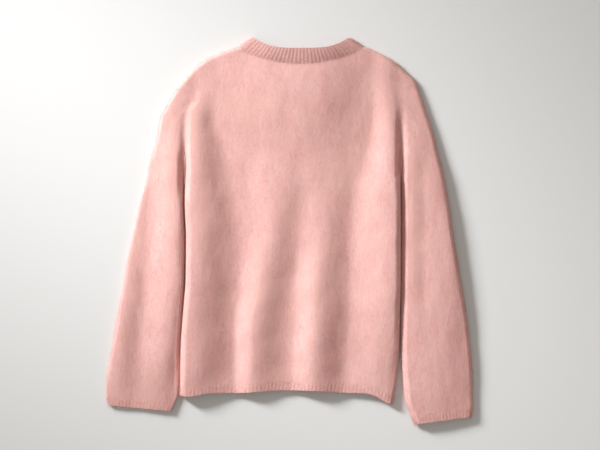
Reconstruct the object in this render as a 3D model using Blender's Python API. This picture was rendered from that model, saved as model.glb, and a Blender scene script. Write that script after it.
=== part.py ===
"""Mohair sweater, laid flat with its back up and its sleeves drawn down beside the body.

Drop-shouldered crew neck of thick brushed knit. It lies on Z = 0, hem towards -Y, neck towards +Y,
and the origin is under the middle of its footprint. Every sheet below is the middle of the cloth,
and its wall is laid on both sides of it. Metres, +Z up.
"""

import bpy
import numpy as np
from mathutils.kdtree import KDTree

# Cloth and seams
WALL = 0.0024  # brushed mohair knit, one layer
SEAM_GAP = 0.0005  # between two pieces where they are sewn together
MEET = 0.00002  # points of two sheets this near are one point of their seam
RIM_ORDER = np.array([0.6, 0.8, 0.05])  # along this, so that facing rims are split on the same diagonal
RIB = 0.015  # height of the rib at hem and cuffs
FLOOR = WALL / 2  # middle of a layer that rests on the surface

# How the folded cloth rolls at its edges
EDGE = 0.0050  # height of the outline, where the cloth stands upright
INNER_EDGE = 0.0072  # the same where body and sleeve face each other
SIDE_SEAM = 0.0040  # height at which back and front meet at the side
UNDERARM_Z = 0.0030  # height of the front's corner at the underarm
SLOT_SEAM = 0.0055  # height of the armhole seam where body and sleeve face each other
OUTER_ROLL = 0.018  # width of the roll along the outline, on top
INNER_ROLL = 0.011  # width of the roll where body and sleeve face each other
UNDER_ROLL = 0.007  # width of every roll, underneath
CREASE_HALF = 0.012  # half width of the crease between body and sleeve

UNDERARM_Y = 0.082
NECK_X = 0.0217  # middle of the neck
BACK_NECK_Y = 0.2957  # lowest point of the back neck seam
FRONT_NECK_Y = 0.240  # lowest point of the front neck seam
BAND_BACK_Y = 0.3237  # free edge of the neckband, middle of the back
BAND_FRONT_Y = 0.266  # free edge of the neckband, middle of the front
BAND_PEAK_Y = 0.3417  # free edge at the folds beside the neck
BAND_BACK_Z = 0.0055  # height of the free edge, middle of the back
BAND_HALF = 0.0834  # half width between the two folds of the band's free edge
BAND_FOLD = 0.004  # width of that fold
BAND_FOLD_RISE = 0.0055  # from the fold up to the band's back
FOLD_DROP = 0.010  # from the shoulder's fold down to where the front lies flat
FRONT_HEM_LIFT = 0.004  # in the middle, the front's hem lies this much above the back's


def table(names, *rows):
    """The columns of a short table as arrays, by name."""
    return dict(zip(names.split(), np.array(rows, float).T))


# The lower edge, from side seam to side seam
HEM = table(
    "x y",
    (-0.191, -0.291),
    (-0.180, -0.2925),
    (-0.140, -0.287),
    (-0.090, -0.2865),
    (-0.020, -0.282),
    (0.045, -0.2825),
    (0.090, -0.286),
    (0.135, -0.2875),
    (0.153, -0.292),
    (0.168, -0.300),
    (0.178, -0.305),
)

# Where body and sleeve face each other, and below the underarm the side of each
LEFT_EDGES = table(
    "y body sleeve",
    (-0.319, -0.1897, -0.2175),
    (-0.308, -0.1897, -0.2115),
    (-0.292, -0.1897, -0.2015),
    (-0.276, -0.1900, -0.1968),
    (-0.211, -0.1908, -0.1970),
    (-0.158, -0.1893, -0.1954),
    (-0.122, -0.1849, -0.1934),
    (-0.087, -0.1806, -0.1922),
    (0.000, -0.1795, -0.1915),
    (0.055, -0.1797, -0.1910),
    (UNDERARM_Y, -0.18165, -0.18495),
    (0.128, -0.18165, -0.18495),
    (0.144, -0.1833, -0.1833),
    (0.208, -0.1820, -0.1820),
    (0.220, -0.1745, -0.1745),
    (0.233, -0.1665, -0.1665),
    (0.245, -0.1675, -0.1675),
)
RIGHT_EDGES = table(
    "y body sleeve",
    (-0.342, 0.1778, 0.2238),
    (-0.333, 0.1778, 0.2203),
    (-0.314, 0.1778, 0.2119),
    (-0.302, 0.1780, 0.2078),
    (-0.286, 0.1820, 0.2056),
    (-0.265, 0.1858, 0.2043),
    (-0.211, 0.1884, 0.2040),
    (-0.122, 0.1902, 0.2050),
    (0.000, 0.1902, 0.2035),
    (0.050, 0.1908, 0.2028),
    (UNDERARM_Y, 0.19635, 0.19965),
    (0.092, 0.19635, 0.19965),
    (0.108, 0.1980, 0.1980),
    (0.206, 0.1980, 0.1980),
    (0.237, 0.1945, 0.1945),
    (0.2535, 0.1880, 0.1880),
)

# The crease between body and sleeve: how deep it is, from level to edge, and where it closes to a slot
LEFT_CREASE = table(
    "y depth slot",
    (-0.350, 1.0, 1.0),
    (0.128, 1.0, 1.0),
    (0.144, 0.93, 0.0),
    (0.158, 0.85, 0.0),
    (0.180, 0.60, 0.0),
    (0.200, 0.25, 0.0),
    (0.215, 0.0, 0.0),
    (0.250, 0.0, 0.0),
)
RIGHT_CREASE = table(
    "y depth slot",
    (-0.350, 1.0, 1.0),
    (0.092, 1.0, 1.0),
    (0.108, 0.97, 0.0),
    (0.125, 0.90, 0.0),
    (0.150, 0.75, 0.0),
    (0.180, 0.50, 0.0),
    (0.205, 0.20, 0.0),
    (0.222, 0.0, 0.0),
    (0.255, 0.0, 0.0),
)

# The back armhole seam, from the underarm to the end of the shoulder seam
LEFT_ARMHOLE = table(
    "y x",
    (UNDERARM_Y, -0.1833),
    (0.135, -0.1833),
    (0.150, -0.1870),
    (0.166, -0.1910),
    (0.190, -0.1910),
    (0.208, -0.1870),
    (0.220, -0.1785),
    (0.233, -0.1715),
    (0.245, -0.1722),
)
RIGHT_ARMHOLE = table(
    "y x",
    (UNDERARM_Y, 0.1980),
    (0.096, 0.1980),
    (0.110, 0.2015),
    (0.130, 0.2085),
    (0.149, 0.2228),
    (0.172, 0.2306),
    (0.207, 0.2210),
    (0.2375, 0.2075),
    (0.2535, 0.1980),
)

# The shoulder seam on the back, and the fold of the shoulder, which is the front's
LEFT_SHOULDER_SEAM = table(
    "x y",
    (-0.1722, 0.245),
    (-0.1525, 0.2682),
    (-0.1409, 0.2799),
    (-0.1200, 0.2950),
    (-0.1012, 0.3085),
    (-0.0808, 0.3186),
)
RIGHT_SHOULDER_SEAM = table(
    "x y",
    (0.1225, 0.3186),
    (0.1400, 0.3100),
    (0.1580, 0.2990),
    (0.1720, 0.2870),
    (0.1840, 0.2700),
    (0.1980, 0.2535),
)
LEFT_SHOULDER_FOLD = table(
    "x y",
    (-0.1970, 0.2530),
    (-0.1890, 0.2627),
    (-0.1713, 0.2822),
    (-0.1606, 0.2929),
    (-0.1455, 0.3035),
    (-0.1207, 0.3150),
    (-0.1030, 0.3213),
    (-0.0861, 0.3266),
)
RIGHT_SHOULDER_FOLD = table(
    "x y",
    (0.1305, 0.3261),
    (0.1390, 0.3234),
    (0.1638, 0.3117),
    (0.1816, 0.3021),
    (0.1963, 0.2897),
    (0.2059, 0.2805),
    (0.2214, 0.2659),
    (0.2254, 0.2583),
)

# The outer edge of each sleeve, from cuff to shoulder
LEFT_SLEEVE_EDGE = table(
    "y x",
    (-0.309, -0.3180),
    (-0.300, -0.3215),
    (-0.280, -0.3223),
    (-0.250, -0.3195),
    (-0.200, -0.3110),
    (-0.150, -0.3025),
    (-0.100, -0.2935),
    (-0.050, -0.2843),
    (0.000, -0.2728),
    (0.055, -0.2610),
    (0.090, -0.2518),
    (0.126, -0.2443),
    (0.161, -0.2335),
    (0.197, -0.2275),
    (0.225, -0.2135),
    (0.240, -0.2050),
    (0.253, -0.1970),
)
RIGHT_SLEEVE_EDGE = table(
    "y x",
    (-0.329, 0.3210),
    (-0.315, 0.3240),
    (-0.300, 0.3245),
    (-0.250, 0.3230),
    (-0.200, 0.3190),
    (-0.150, 0.3130),
    (-0.100, 0.3045),
    (-0.050, 0.2960),
    (0.000, 0.2880),
    (0.037, 0.2834),
    (0.067, 0.2780),
    (0.106, 0.2710),
    (0.135, 0.2630),
    (0.170, 0.2550),
    (0.206, 0.2435),
    (0.238, 0.2328),
    (0.2583, 0.2254),
)

# Straight sections across each sleeve, below the armhole: where each meets the inner and the outer
# edge. The last two bound the cuff's rib.
LEFT_SECTIONS = table(
    "inner outer",
    (0.0785, 0.205),
    (0.076, 0.172),
    (0.071, 0.136),
    (0.062, 0.095),
    (0.040, 0.052),
    (0.000, 0.003),
    (-0.052, -0.050),
    (-0.105, -0.103),
    (-0.158, -0.156),
    (-0.211, -0.207),
    (-0.260, -0.254),
    (-0.304, -0.294),
    (-0.319, -0.309),
)
RIGHT_SECTIONS = table(
    "inner outer",
    (0.0785, 0.203),
    (0.076, 0.170),
    (0.071, 0.136),
    (0.062, 0.097),
    (0.040, 0.052),
    (0.000, 0.003),
    (-0.055, -0.053),
    (-0.110, -0.106),
    (-0.165, -0.159),
    (-0.220, -0.212),
    (-0.275, -0.264),
    (-0.327, -0.314),
    (-0.342, -0.329),
)

# Level of the cloth on top where no fold lifts it
LEVEL = table(
    "y z",
    (-0.310, 0.0068),
    (-0.150, 0.0068),
    (0.000, 0.0070),
    (0.150, 0.0080),
    (0.250, 0.0092),
    (0.330, 0.0084),
)

# Folds along the body: the line of the crest, how far it rises, and how far off its feet lie
BODY_FOLDS = (
    table(  # roll along the left side
        "y x rise left right",
        (-0.300, -0.1760, 0.0125, 0.090, 0.066),
        (-0.158, -0.1740, 0.0150, 0.090, 0.072),
        (0.000, -0.1720, 0.0145, 0.090, 0.062),
        (0.120, -0.1710, 0.0120, 0.090, 0.044),
        (0.200, -0.1690, 0.0085, 0.090, 0.034),
        (0.250, -0.1640, 0.0030, 0.090, 0.040),
    ),
    table(  # fold left of the middle
        "y x rise left right",
        (-0.300, -0.0560, 0.0100, 0.050, 0.050),
        (-0.158, -0.0515, 0.0095, 0.050, 0.050),
        (-0.050, -0.0480, 0.0065, 0.052, 0.052),
        (0.055, -0.0440, 0.0030, 0.060, 0.060),
        (0.150, -0.0400, 0.0000, 0.060, 0.060),
    ),
    table(  # fold right of the middle
        "y x rise left right",
        (-0.300, 0.0500, 0.0125, 0.046, 0.046),
        (-0.158, 0.0515, 0.0120, 0.050, 0.048),
        (-0.050, 0.0500, 0.0075, 0.052, 0.050),
        (0.055, 0.0480, 0.0025, 0.055, 0.055),
        (0.130, 0.0470, 0.0000, 0.055, 0.055),
    ),
    table(  # long slope and roll along the right side
        "y x rise left right",
        (-0.300, 0.1580, 0.0090, 0.060, 0.060),
        (-0.158, 0.1760, 0.0160, 0.080, 0.090),
        (0.000, 0.1780, 0.0155, 0.078, 0.090),
        (0.120, 0.1760, 0.0130, 0.062, 0.090),
        (0.200, 0.1720, 0.0095, 0.042, 0.090),
        (0.250, 0.1680, 0.0030, 0.040, 0.090),
    ),
    table(  # the upper back, which stands a little off the front
        "y x rise left right",
        (-0.080, -0.0200, 0.0000, 0.115, 0.140),
        (0.060, -0.0200, 0.0025, 0.115, 0.140),
        (0.180, -0.0100, 0.0040, 0.120, 0.140),
        (0.260, 0.0000, 0.0035, 0.130, 0.120),
        (0.320, 0.0200, 0.0000, 0.130, 0.100),
    ),
)
LEFT_SLEEVE_FOLDS = (
    table(  # ridge near the body
        "y x rise left right",
        (-0.310, -0.2400, 0.0080, 0.045, 0.060),
        (-0.260, -0.2320, 0.0110, 0.042, 0.060),
        (-0.158, -0.2160, 0.0135, 0.044, 0.060),
        (-0.050, -0.2060, 0.0145, 0.055, 0.060),
        (0.055, -0.2030, 0.0145, 0.070, 0.060),
        (0.150, -0.2040, 0.0105, 0.060, 0.060),
        (0.250, -0.1900, 0.0030, 0.050, 0.060),
    ),
    table(  # ridge near the outer edge
        "y x rise left right",
        (-0.310, -0.3020, 0.0075, 0.028, 0.036),
        (-0.260, -0.3020, 0.0085, 0.028, 0.040),
        (-0.158, -0.2880, 0.0090, 0.028, 0.034),
        (-0.050, -0.2730, 0.0060, 0.028, 0.030),
        (0.055, -0.2550, 0.0000, 0.028, 0.028),
    ),
)
RIGHT_SLEEVE_FOLDS = (
    table(  # ridge near the body
        "y x rise left right",
        (-0.335, 0.2450, 0.0070, 0.060, 0.060),
        (-0.260, 0.2360, 0.0090, 0.060, 0.060),
        (-0.158, 0.2220, 0.0100, 0.060, 0.034),
        (-0.087, 0.2170, 0.0105, 0.060, 0.026),
        (0.055, 0.2150, 0.0110, 0.060, 0.026),
        (0.150, 0.2120, 0.0085, 0.060, 0.030),
        (0.250, 0.2050, 0.0020, 0.060, 0.050),
    ),
    table(  # ridge near the outer edge
        "y x rise left right",
        (-0.335, 0.2850, 0.0045, 0.050, 0.050),
        (-0.260, 0.2800, 0.0055, 0.050, 0.060),
        (-0.158, 0.2720, 0.0075, 0.044, 0.060),
        (-0.087, 0.2660, 0.0085, 0.036, 0.060),
        (0.055, 0.2560, 0.0085, 0.032, 0.060),
        (0.150, 0.2420, 0.0070, 0.028, 0.060),
        (0.250, 0.2200, 0.0010, 0.028, 0.060),
    ),
)

# How finely the sheets are cut
BELOW_UNDERARM = np.linspace(0, 1, 12)  # rows from the hem's rib to the underarm
CLIMB = np.array([0, 0.06, 0.17, 0.28, 0.39, 0.50, 0.62, 0.74, 0.87, 1.0])  # rows along the armhole
ROLL_STEPS = np.radians([0, 30, 60, 90])  # columns round the roll at the body's side
OUTER_STEPS = np.radians([90, 60, 30, 0])  # round the outer roll, on top
UNDER_STEPS = np.radians([0, 45, 90])  # and underneath
STRIP = np.array([0, 0.5, 1.0])  # columns from the armhole or side seam to the roll
ARMHOLE_RINGS = (0, 0.33, 0.67)  # sleeve rings between the armhole and the first straight section
ARMHOLE_SPACING = 0.022  # least share of that section between two points facing the armhole
SHOULDER_COLUMNS = 4  # of the back, between the roll and the neck
BACK_NECK_COLUMNS = 12
FRONT_NECK = np.array([-1, -0.92, -0.74, -0.44, 0, 0.44, 0.74, 0.92, 1])  # columns across the front neck
BAND_ROWS = np.array([0, 0.5, 1.0])

PINK = (0.80, 0.49, 0.45, 1.0)
PINK_BAND = (0.74, 0.44, 0.40, 1.0)
PINK_SLEEVE = (0.79, 0.48, 0.44, 1.0)


def smooth(at, places, values):
    """Monotone cubic through a table's rows, level past its ends."""
    at = np.clip(at, places[0], places[-1])
    step = np.diff(places)
    slope = np.diff(values) / step
    tangent = np.concatenate([slope[:1], np.zeros(len(slope) - 1), slope[-1:]])
    product, total = slope[:-1] * slope[1:], slope[:-1] + slope[1:]
    level = product <= 0
    tangent[1:-1] = np.where(level, 0, 2 * product / np.where(level, 1, total))
    k = np.clip(np.searchsorted(places, at, "right") - 1, 0, len(step) - 1)
    t = (at - places[k]) / step[k]
    start = (1 + 2 * t) * (1 - t) ** 2 * values[k] + t * (1 - t) ** 2 * step[k] * tangent[k]
    return start + t * t * (3 - 2 * t) * values[k + 1] - t * t * (1 - t) * step[k] * tangent[k + 1]


def crest(t):
    """Raised cosine: 1 on the crest of a fold and 0 at its feet."""
    return 0.5 * (1 + np.cos(np.pi * np.clip(np.abs(t), 0, 1)))


def rounded(t):
    """Quarter ellipse: 0 and upright at an edge, 1 and level where the roll ends."""
    return np.sqrt(np.clip(1 - (1 - np.clip(t, 0, 1)) ** 2, 0, 1))


def roll_places(width, steps):
    """Distances from an edge at which a quarter ellipse of this width turns by the given angles."""
    return width * (1 - np.cos(steps))


def mix(a, b, share):
    return a + (b - a) * share


def distance(x, y, line):
    """Distance in plan from each point to a line of straight pieces."""
    start, along = line[:-1], np.diff(line, axis=0)
    dx, dy = x[..., None] - start[:, 0], y[..., None] - start[:, 1]
    t = np.clip((dx * along[:, 0] + dy * along[:, 1]) / (along**2).sum(1), 0, 1)
    return np.hypot(dx - t * along[:, 0], dy - t * along[:, 1]).min(-1)


class Side:
    """The tables of one side of the garment, and the lines worked out from them."""

    def __init__(self, sign, edges, crease, armhole, seam, fold, sleeve_edge, sections, folds):
        self.sign = sign
        self.edges = edges
        self.crease = crease
        self.armhole = armhole
        self.seam = seam
        self.fold = fold
        self.sleeve_edge = sleeve_edge
        self.sections = sections
        self.folds = folds
        tip, neck = (0, -1) if sign < 0 else (-1, 0)
        self.fold_tip = np.array([fold["x"][tip], fold["y"][tip]])
        self.fold_neck = np.array([fold["x"][neck], fold["y"][neck]])
        self.seam_tip = np.array([seam["x"][tip], seam["y"][tip]])
        self.seam_neck = np.array([seam["x"][neck], seam["y"][neck]])
        self.pit = np.array([armhole["x"][0], UNDERARM_Y])
        ys = np.linspace(sleeve_edge["y"][0], sleeve_edge["y"][-1], 60)
        sleeve_line = np.stack([self.outer(ys), ys], -1)
        xs = np.linspace(self.fold_tip[0], self.fold_neck[0], 24)[1:]
        fold_line = np.stack([xs, smooth(xs, fold["x"], fold["y"])], -1)
        self.outline = np.concatenate([sleeve_line, fold_line])
        ys = np.linspace(edges["y"][0], UNDERARM_Y, 40)
        self.body_line = np.stack([self.body(ys), ys], -1)
        self.inner_line = np.stack([self.inner(ys), ys], -1)

    def body(self, y):
        return smooth(y, self.edges["y"], self.edges["body"])

    def inner(self, y):
        return smooth(y, self.edges["y"], self.edges["sleeve"])

    def outer(self, y):
        return smooth(y, self.sleeve_edge["y"], self.sleeve_edge["x"])

    def slot(self, y):
        return smooth(y, self.crease["y"], self.crease["slot"])

    def seam_x(self, y):
        return smooth(y, self.armhole["y"], self.armhole["x"])

    def upright(self, y):
        """Whether body and sleeve stand face to face at the armhole seam, with half a gap and a wall each."""
        return np.where(self.slot(y) > 0.5, 1.0, 0.0)

    def armhole_x(self, y, toward):
        """The armhole seam, moved toward the sleeve (1) or the body (-1) where the two are face to face."""
        return self.seam_x(y) + self.sign * toward * self.upright(y) * (WALL + SEAM_GAP) / 2

    def sink(self, x, y, level, edge):
        """The level of the cloth, let down to the crease or the edge at the given x."""
        depth = smooth(y, self.crease["y"], self.crease["depth"])
        low = mix(level, INNER_EDGE, depth)
        away = np.abs(x - edge)
        soft = 1 - crest(away / CREASE_HALF)
        return low + (level - low) * mix(soft, rounded(away / INNER_ROLL), self.slot(y))


LEFT = Side(
    -1,
    LEFT_EDGES,
    LEFT_CREASE,
    LEFT_ARMHOLE,
    LEFT_SHOULDER_SEAM,
    LEFT_SHOULDER_FOLD,
    LEFT_SLEEVE_EDGE,
    LEFT_SECTIONS,
    LEFT_SLEEVE_FOLDS,
)
RIGHT = Side(
    1,
    RIGHT_EDGES,
    RIGHT_CREASE,
    RIGHT_ARMHOLE,
    RIGHT_SHOULDER_SEAM,
    RIGHT_SHOULDER_FOLD,
    RIGHT_SLEEVE_EDGE,
    RIGHT_SECTIONS,
    RIGHT_SLEEVE_FOLDS,
)


def folded(x, y, folds):
    """The level of the top cloth with these folds on it, each a raised cosine across its crest."""
    z = smooth(y, LEVEL["y"], LEVEL["z"])
    for fold in folds:
        away = x - smooth(y, fold["y"], fold["x"])
        side = np.where(away < 0, smooth(y, fold["y"], fold["left"]), smooth(y, fold["y"], fold["right"]))
        z = z + smooth(y, fold["y"], fold["rise"]) * crest(away / side)
    return z


def level_on_top(x, y):
    """The body's folds pass into each sleeve's across the line between them; the outline rolls off."""
    z = folded(x, y, BODY_FOLDS)
    for side in (LEFT, RIGHT):
        between = (side.body(y) + side.inner(y)) / 2
        share = 1 - crest(np.clip((side.sign * (x - between) + CREASE_HALF) / (2 * CREASE_HALF), 0, 1))
        z = mix(z, folded(x, y, side.folds), share)
    for side in (LEFT, RIGHT):
        z = EDGE + (z - EDGE) * rounded(distance(x, y, side.outline) / OUTER_ROLL)
    return z


def body_top(x, y):
    z = level_on_top(x, y)
    for side in (LEFT, RIGHT):
        z = side.sink(x, y, z, side.body(y))
    return z


def sleeve_top(side, x, y):
    return side.sink(x, y, level_on_top(x, y), side.inner(y))


def body_under(x, y):
    """The front lies flat, and turns up at the sides below the arms and at the shoulders' folds."""
    z = np.full_like(x, FLOOR)
    for side in (LEFT, RIGHT):
        z = z + (EDGE - FLOOR) * (1 - rounded(distance(x, y, side.outline) / UNDER_ROLL))
        z = z + (SIDE_SEAM - FLOOR) * (1 - rounded(distance(x, y, side.body_line) / UNDER_ROLL))
    return z


def sleeve_under(side, x, y):
    outer = 1 - rounded(distance(x, y, side.outline) / UNDER_ROLL)
    inner = 1 - rounded(distance(x, y, side.inner_line) / UNDER_ROLL)
    return FLOOR + (EDGE - FLOOR) * outer + (INNER_EDGE - FLOOR) * inner


def points(x, y, z):
    return np.stack(np.broadcast_arrays(x, y, z), -1)


def drawn_in(grid, axis, ends):
    """The sheet with borders drawn in, square to each, by half a seam gap; an end is 0 or -1."""
    grid = np.moveaxis(grid.copy(), axis, 0)
    for end, next_in in ((0, 1), (-1, -2)):
        if end in ends:
            inward = grid[next_in] - grid[end]
            along = np.gradient(grid[end], axis=0)
            along /= np.linalg.norm(along, axis=-1, keepdims=True)
            inward = inward - (inward * along).sum(-1, keepdims=True) * along
            grid[end] += inward * (SEAM_GAP / 2) / np.linalg.norm(inward, axis=-1, keepdims=True)
    return np.moveaxis(grid, 0, axis)


# Rows and columns of the body, shared by the pieces that meet there


def rows_up(hem_y, top_y):
    """Heights (rows, columns): the hem's rib, then up to the underarm, then up to the top edge."""
    seam = mix(hem_y + RIB, UNDERARM_Y, BELOW_UNDERARM[:, None])
    arm = mix(UNDERARM_Y, top_y, CLIMB[1:, None])
    return np.concatenate([hem_y[None], seam, arm])


def back_x(y, share):
    """x at the heights y (rows, columns): seam strip and roll at each side, shares of the width between."""
    roll = roll_places(INNER_ROLL, ROLL_STEPS)
    toward_roll = np.concatenate([STRIP, np.ones(len(roll) - 1)])
    past_edge = np.concatenate([np.zeros(len(STRIP) - 1), roll])
    count = len(toward_roll)
    ends = []
    for side, yy in ((LEFT, y[:, :count]), (RIGHT, y[:, ::-1][:, :count])):
        edge = side.body(yy)
        seam = np.where(yy < UNDERARM_Y, edge, side.armhole_x(yy[:, :1], -1))
        ends.append(mix(seam, edge, toward_roll) - side.sign * past_edge)
    middle = y[:, count:-count]
    left, right = (side.body(middle) - side.sign * INNER_ROLL for side in (LEFT, RIGHT))
    return np.concatenate([ends[0], mix(left, right, share[1:-1]), ends[1][:, ::-1]], 1)


def back_top_y(x):
    """Upper edge of the back: the shoulder seams, and a parabola for the neck between them."""
    middle = (LEFT.seam_neck + RIGHT.seam_neck) / 2
    half = (RIGHT.seam_neck[0] - LEFT.seam_neck[0]) / 2
    neck = BACK_NECK_Y + (middle[1] - BACK_NECK_Y) * ((x - middle[0]) / half) ** 2
    left = smooth(x, LEFT.seam["x"], LEFT.seam["y"])
    right = smooth(x, RIGHT.seam["x"], RIGHT.seam["y"])
    on_neck = np.abs(x - middle[0]) < half
    return np.where(on_neck, neck, np.where(x < middle[0], left, right))


def back_sheet():
    """The back, columns from the hem up to the shoulder seams and the neck, and the neck's columns."""
    left, right = (side.body(side.seam_tip[1]) - side.sign * INNER_ROLL for side in (LEFT, RIGHT))
    corners = [(side.seam_neck[0] - left) / (right - left) for side in (LEFT, RIGHT)]
    share = np.concatenate(
        [
            np.linspace(0, corners[0], SHOULDER_COLUMNS + 1)[:-1],
            np.linspace(corners[0], corners[1], BACK_NECK_COLUMNS + 1),
            np.linspace(corners[1], 1, SHOULDER_COLUMNS + 1)[1:],
        ]
    )
    beside = len(STRIP) + len(ROLL_STEPS) - 2
    across = np.concatenate([np.zeros(beside), share, np.ones(beside)])
    level = mix(LEFT.seam_tip[1], RIGHT.seam_tip[1], across)[None]
    top_y = back_top_y(back_x(level, share)[0])
    hem_y = smooth(back_x(np.full_like(level, HEM["y"].mean()), share)[0], HEM["x"], HEM["y"])
    y = rows_up(hem_y, top_y)
    x = back_x(y, share)
    z = body_top(x, y)
    below = np.arange(len(y))[:, None] <= len(BELOW_UNDERARM)
    strip = mix(np.where(below, SIDE_SEAM, SLOT_SEAM), INNER_EDGE, STRIP)
    for side, columns in ((LEFT, [0, 1, 2]), (RIGHT, [-1, -2, -3])):
        z[:, columns] = mix(z[:, columns], strip, side.upright(y[:, columns[:1]]))
    first = beside + SHOULDER_COLUMNS
    return points(x, y, z), slice(first, first + BACK_NECK_COLUMNS + 1)


def front_side_x(side, y):
    """The side seam below the underarm, and above it the straight front armhole seam."""
    up = np.clip((y - UNDERARM_Y) / (side.fold_tip[1] - UNDERARM_Y), 0, 1)
    arm = mix(side.pit[0], side.fold_tip[0], up)
    return np.where(y < UNDERARM_Y + SEAM_GAP, side.body(y), arm)


def front_x(y, share):
    """x at the heights y (rows, columns): a roll at each side, shares of the width between."""
    roll = roll_places(UNDER_ROLL, UNDER_STEPS)
    count = len(roll)
    left = front_side_x(LEFT, y[:, :count]) + roll
    right = front_side_x(RIGHT, y[:, -count:]) - roll[::-1]
    middle = y[:, count:-count]
    inner = [front_side_x(side, middle) - side.sign * UNDER_ROLL for side in (LEFT, RIGHT)]
    return np.concatenate([left, mix(inner[0], inner[1], share[1:-1]), right], 1)


def front_sheet():
    """The front where it lies flat, the neck's columns, and where each column meets the shoulder's fold."""
    left, right = (side.fold_tip[0] - side.sign * UNDER_ROLL for side in (LEFT, RIGHT))
    corners = [(side.fold_neck[0] - left) / (right - left) for side in (LEFT, RIGHT)]
    beside = len(UNDER_STEPS) - 1
    shoulder = SHOULDER_COLUMNS + len(STRIP) + len(ROLL_STEPS) - 2 - beside
    share = np.concatenate(
        [
            np.linspace(0, corners[0], shoulder + 1)[:-1],
            mix(corners[0], corners[1], (FRONT_NECK + 1) / 2),
            np.linspace(corners[1], 1, shoulder + 1)[1:],
        ]
    )
    neck = slice(beside + shoulder, beside + shoulder + len(FRONT_NECK))
    across = np.concatenate([np.zeros(beside), share, np.ones(beside)])
    level = mix(LEFT.fold_tip[1], RIGHT.fold_tip[1], across)[None]
    fold_x = front_x(level, share)[0]
    fold_y = np.where(
        fold_x < NECK_X,
        smooth(fold_x, LEFT.fold["x"], LEFT.fold["y"]),
        smooth(fold_x, RIGHT.fold["x"], RIGHT.fold["y"]),
    )
    top_y = fold_y - FOLD_DROP
    ends = (top_y[neck][0] + top_y[neck][-1]) / 2
    top_y[neck] = FRONT_NECK_Y + (ends - FRONT_NECK_Y) * np.abs(FRONT_NECK) ** 2.5
    hem_x = front_x(np.full_like(level, HEM["y"].mean()), share)[0]
    lift = FRONT_HEM_LIFT * np.sin(np.pi * across)
    y = rows_up(smooth(hem_x, HEM["x"], HEM["y"]) + lift, top_y)
    x = front_x(y, share)
    z = body_under(x, y)
    z[: len(BELOW_UNDERARM), [0, -1]] = SIDE_SEAM
    z[len(BELOW_UNDERARM), [0, -1]] = UNDERARM_Z
    return points(x, y, z), neck, np.stack([fold_x, fold_y], -1)


def shoulder_wrap(front, fold, back):
    """The front turned over the shoulder: from its flat round the fold to the seam on the back."""
    flat, seam = front[-1], back[-1]
    under = [mix(flat[:, :2], fold, s) for s in (0, 0.6, 1)]
    over = [mix(fold, seam[:, :2], 1 - np.cos(step)) for step in OUTER_STEPS[::-1][1:]]
    rows = []
    for plan in under[:-1]:
        rows.append(points(plan[:, 0], plan[:, 1], body_under(plan[:, 0], plan[:, 1])))
    for plan in under[-1:] + over:
        rows.append(points(plan[:, 0], plan[:, 1], body_top(plan[:, 0], plan[:, 1])))
    return np.array(rows)


def neck_band(back, back_neck, front, front_neck, wraps):
    """A closed ring: along the back neck, round the fold of the right shoulder, back along the front."""
    left_turn, right_turn = wraps[0][::-1, -1], wraps[1][::-1, 0]
    base = np.concatenate(
        [
            back[-1, back_neck],
            right_turn[1:],
            front[-1, front_neck][::-1][1:],
            left_turn[::-1][1:-1],
        ]
    )
    turn = np.concatenate([OUTER_STEPS[1:], -UNDER_STEPS[1:]])
    xi = np.linspace(-1, 1, BACK_NECK_COLUMNS + 1)
    half = BAND_HALF - BAND_FOLD
    peak_y = BAND_PEAK_Y - BAND_FOLD / 2
    back_z = BAND_BACK_Z + (EDGE + BAND_FOLD_RISE - BAND_BACK_Z) * np.abs(xi) ** 3
    back_edge = points(NECK_X + half * xi, BAND_BACK_Y + (peak_y - BAND_BACK_Y) * np.abs(xi) ** 3.4, back_z)
    xi = FRONT_NECK
    front_edge = points(NECK_X + half * xi, BAND_FRONT_Y + (peak_y - BAND_FRONT_Y) * np.abs(xi) ** 2.6, FLOOR)
    turns = []
    for sign in (-1, 1):
        rise = np.where(turn > 0, BAND_FOLD_RISE, EDGE - FLOOR)
        x = NECK_X + sign * (half + BAND_FOLD * np.cos(turn))
        turns.append(points(x, peak_y + BAND_FOLD / 2 * np.cos(turn), EDGE + rise * np.sin(turn)))
    edge = np.concatenate([back_edge, turns[1], front_edge[::-1][1:], turns[0][::-1][1:]])
    return mix(base, edge, BAND_ROWS[:, None, None])


def ring_shares(length):
    """Places round a straight section, as shares from the inner to the outer edge: on top, then back."""
    near = roll_places(INNER_ROLL, ROLL_STEPS) / length
    far = 1 - roll_places(OUTER_ROLL, OUTER_STEPS) / length
    low_far = 1 - roll_places(UNDER_ROLL, UNDER_STEPS) / length
    low_near = roll_places(UNDER_ROLL, UNDER_STEPS[::-1]) / length
    top = np.linspace(near[-1], far[0], len(CLIMB) - len(near) + 2)[1:-1]
    low = np.linspace(low_far[-1], low_near[0], len(CLIMB) - len(low_near) + 1)[1:-1]
    return np.concatenate([near, top, far[1 - len(OUTER_STEPS) :], low_far[1:], low, low_near[:-1]])


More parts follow.
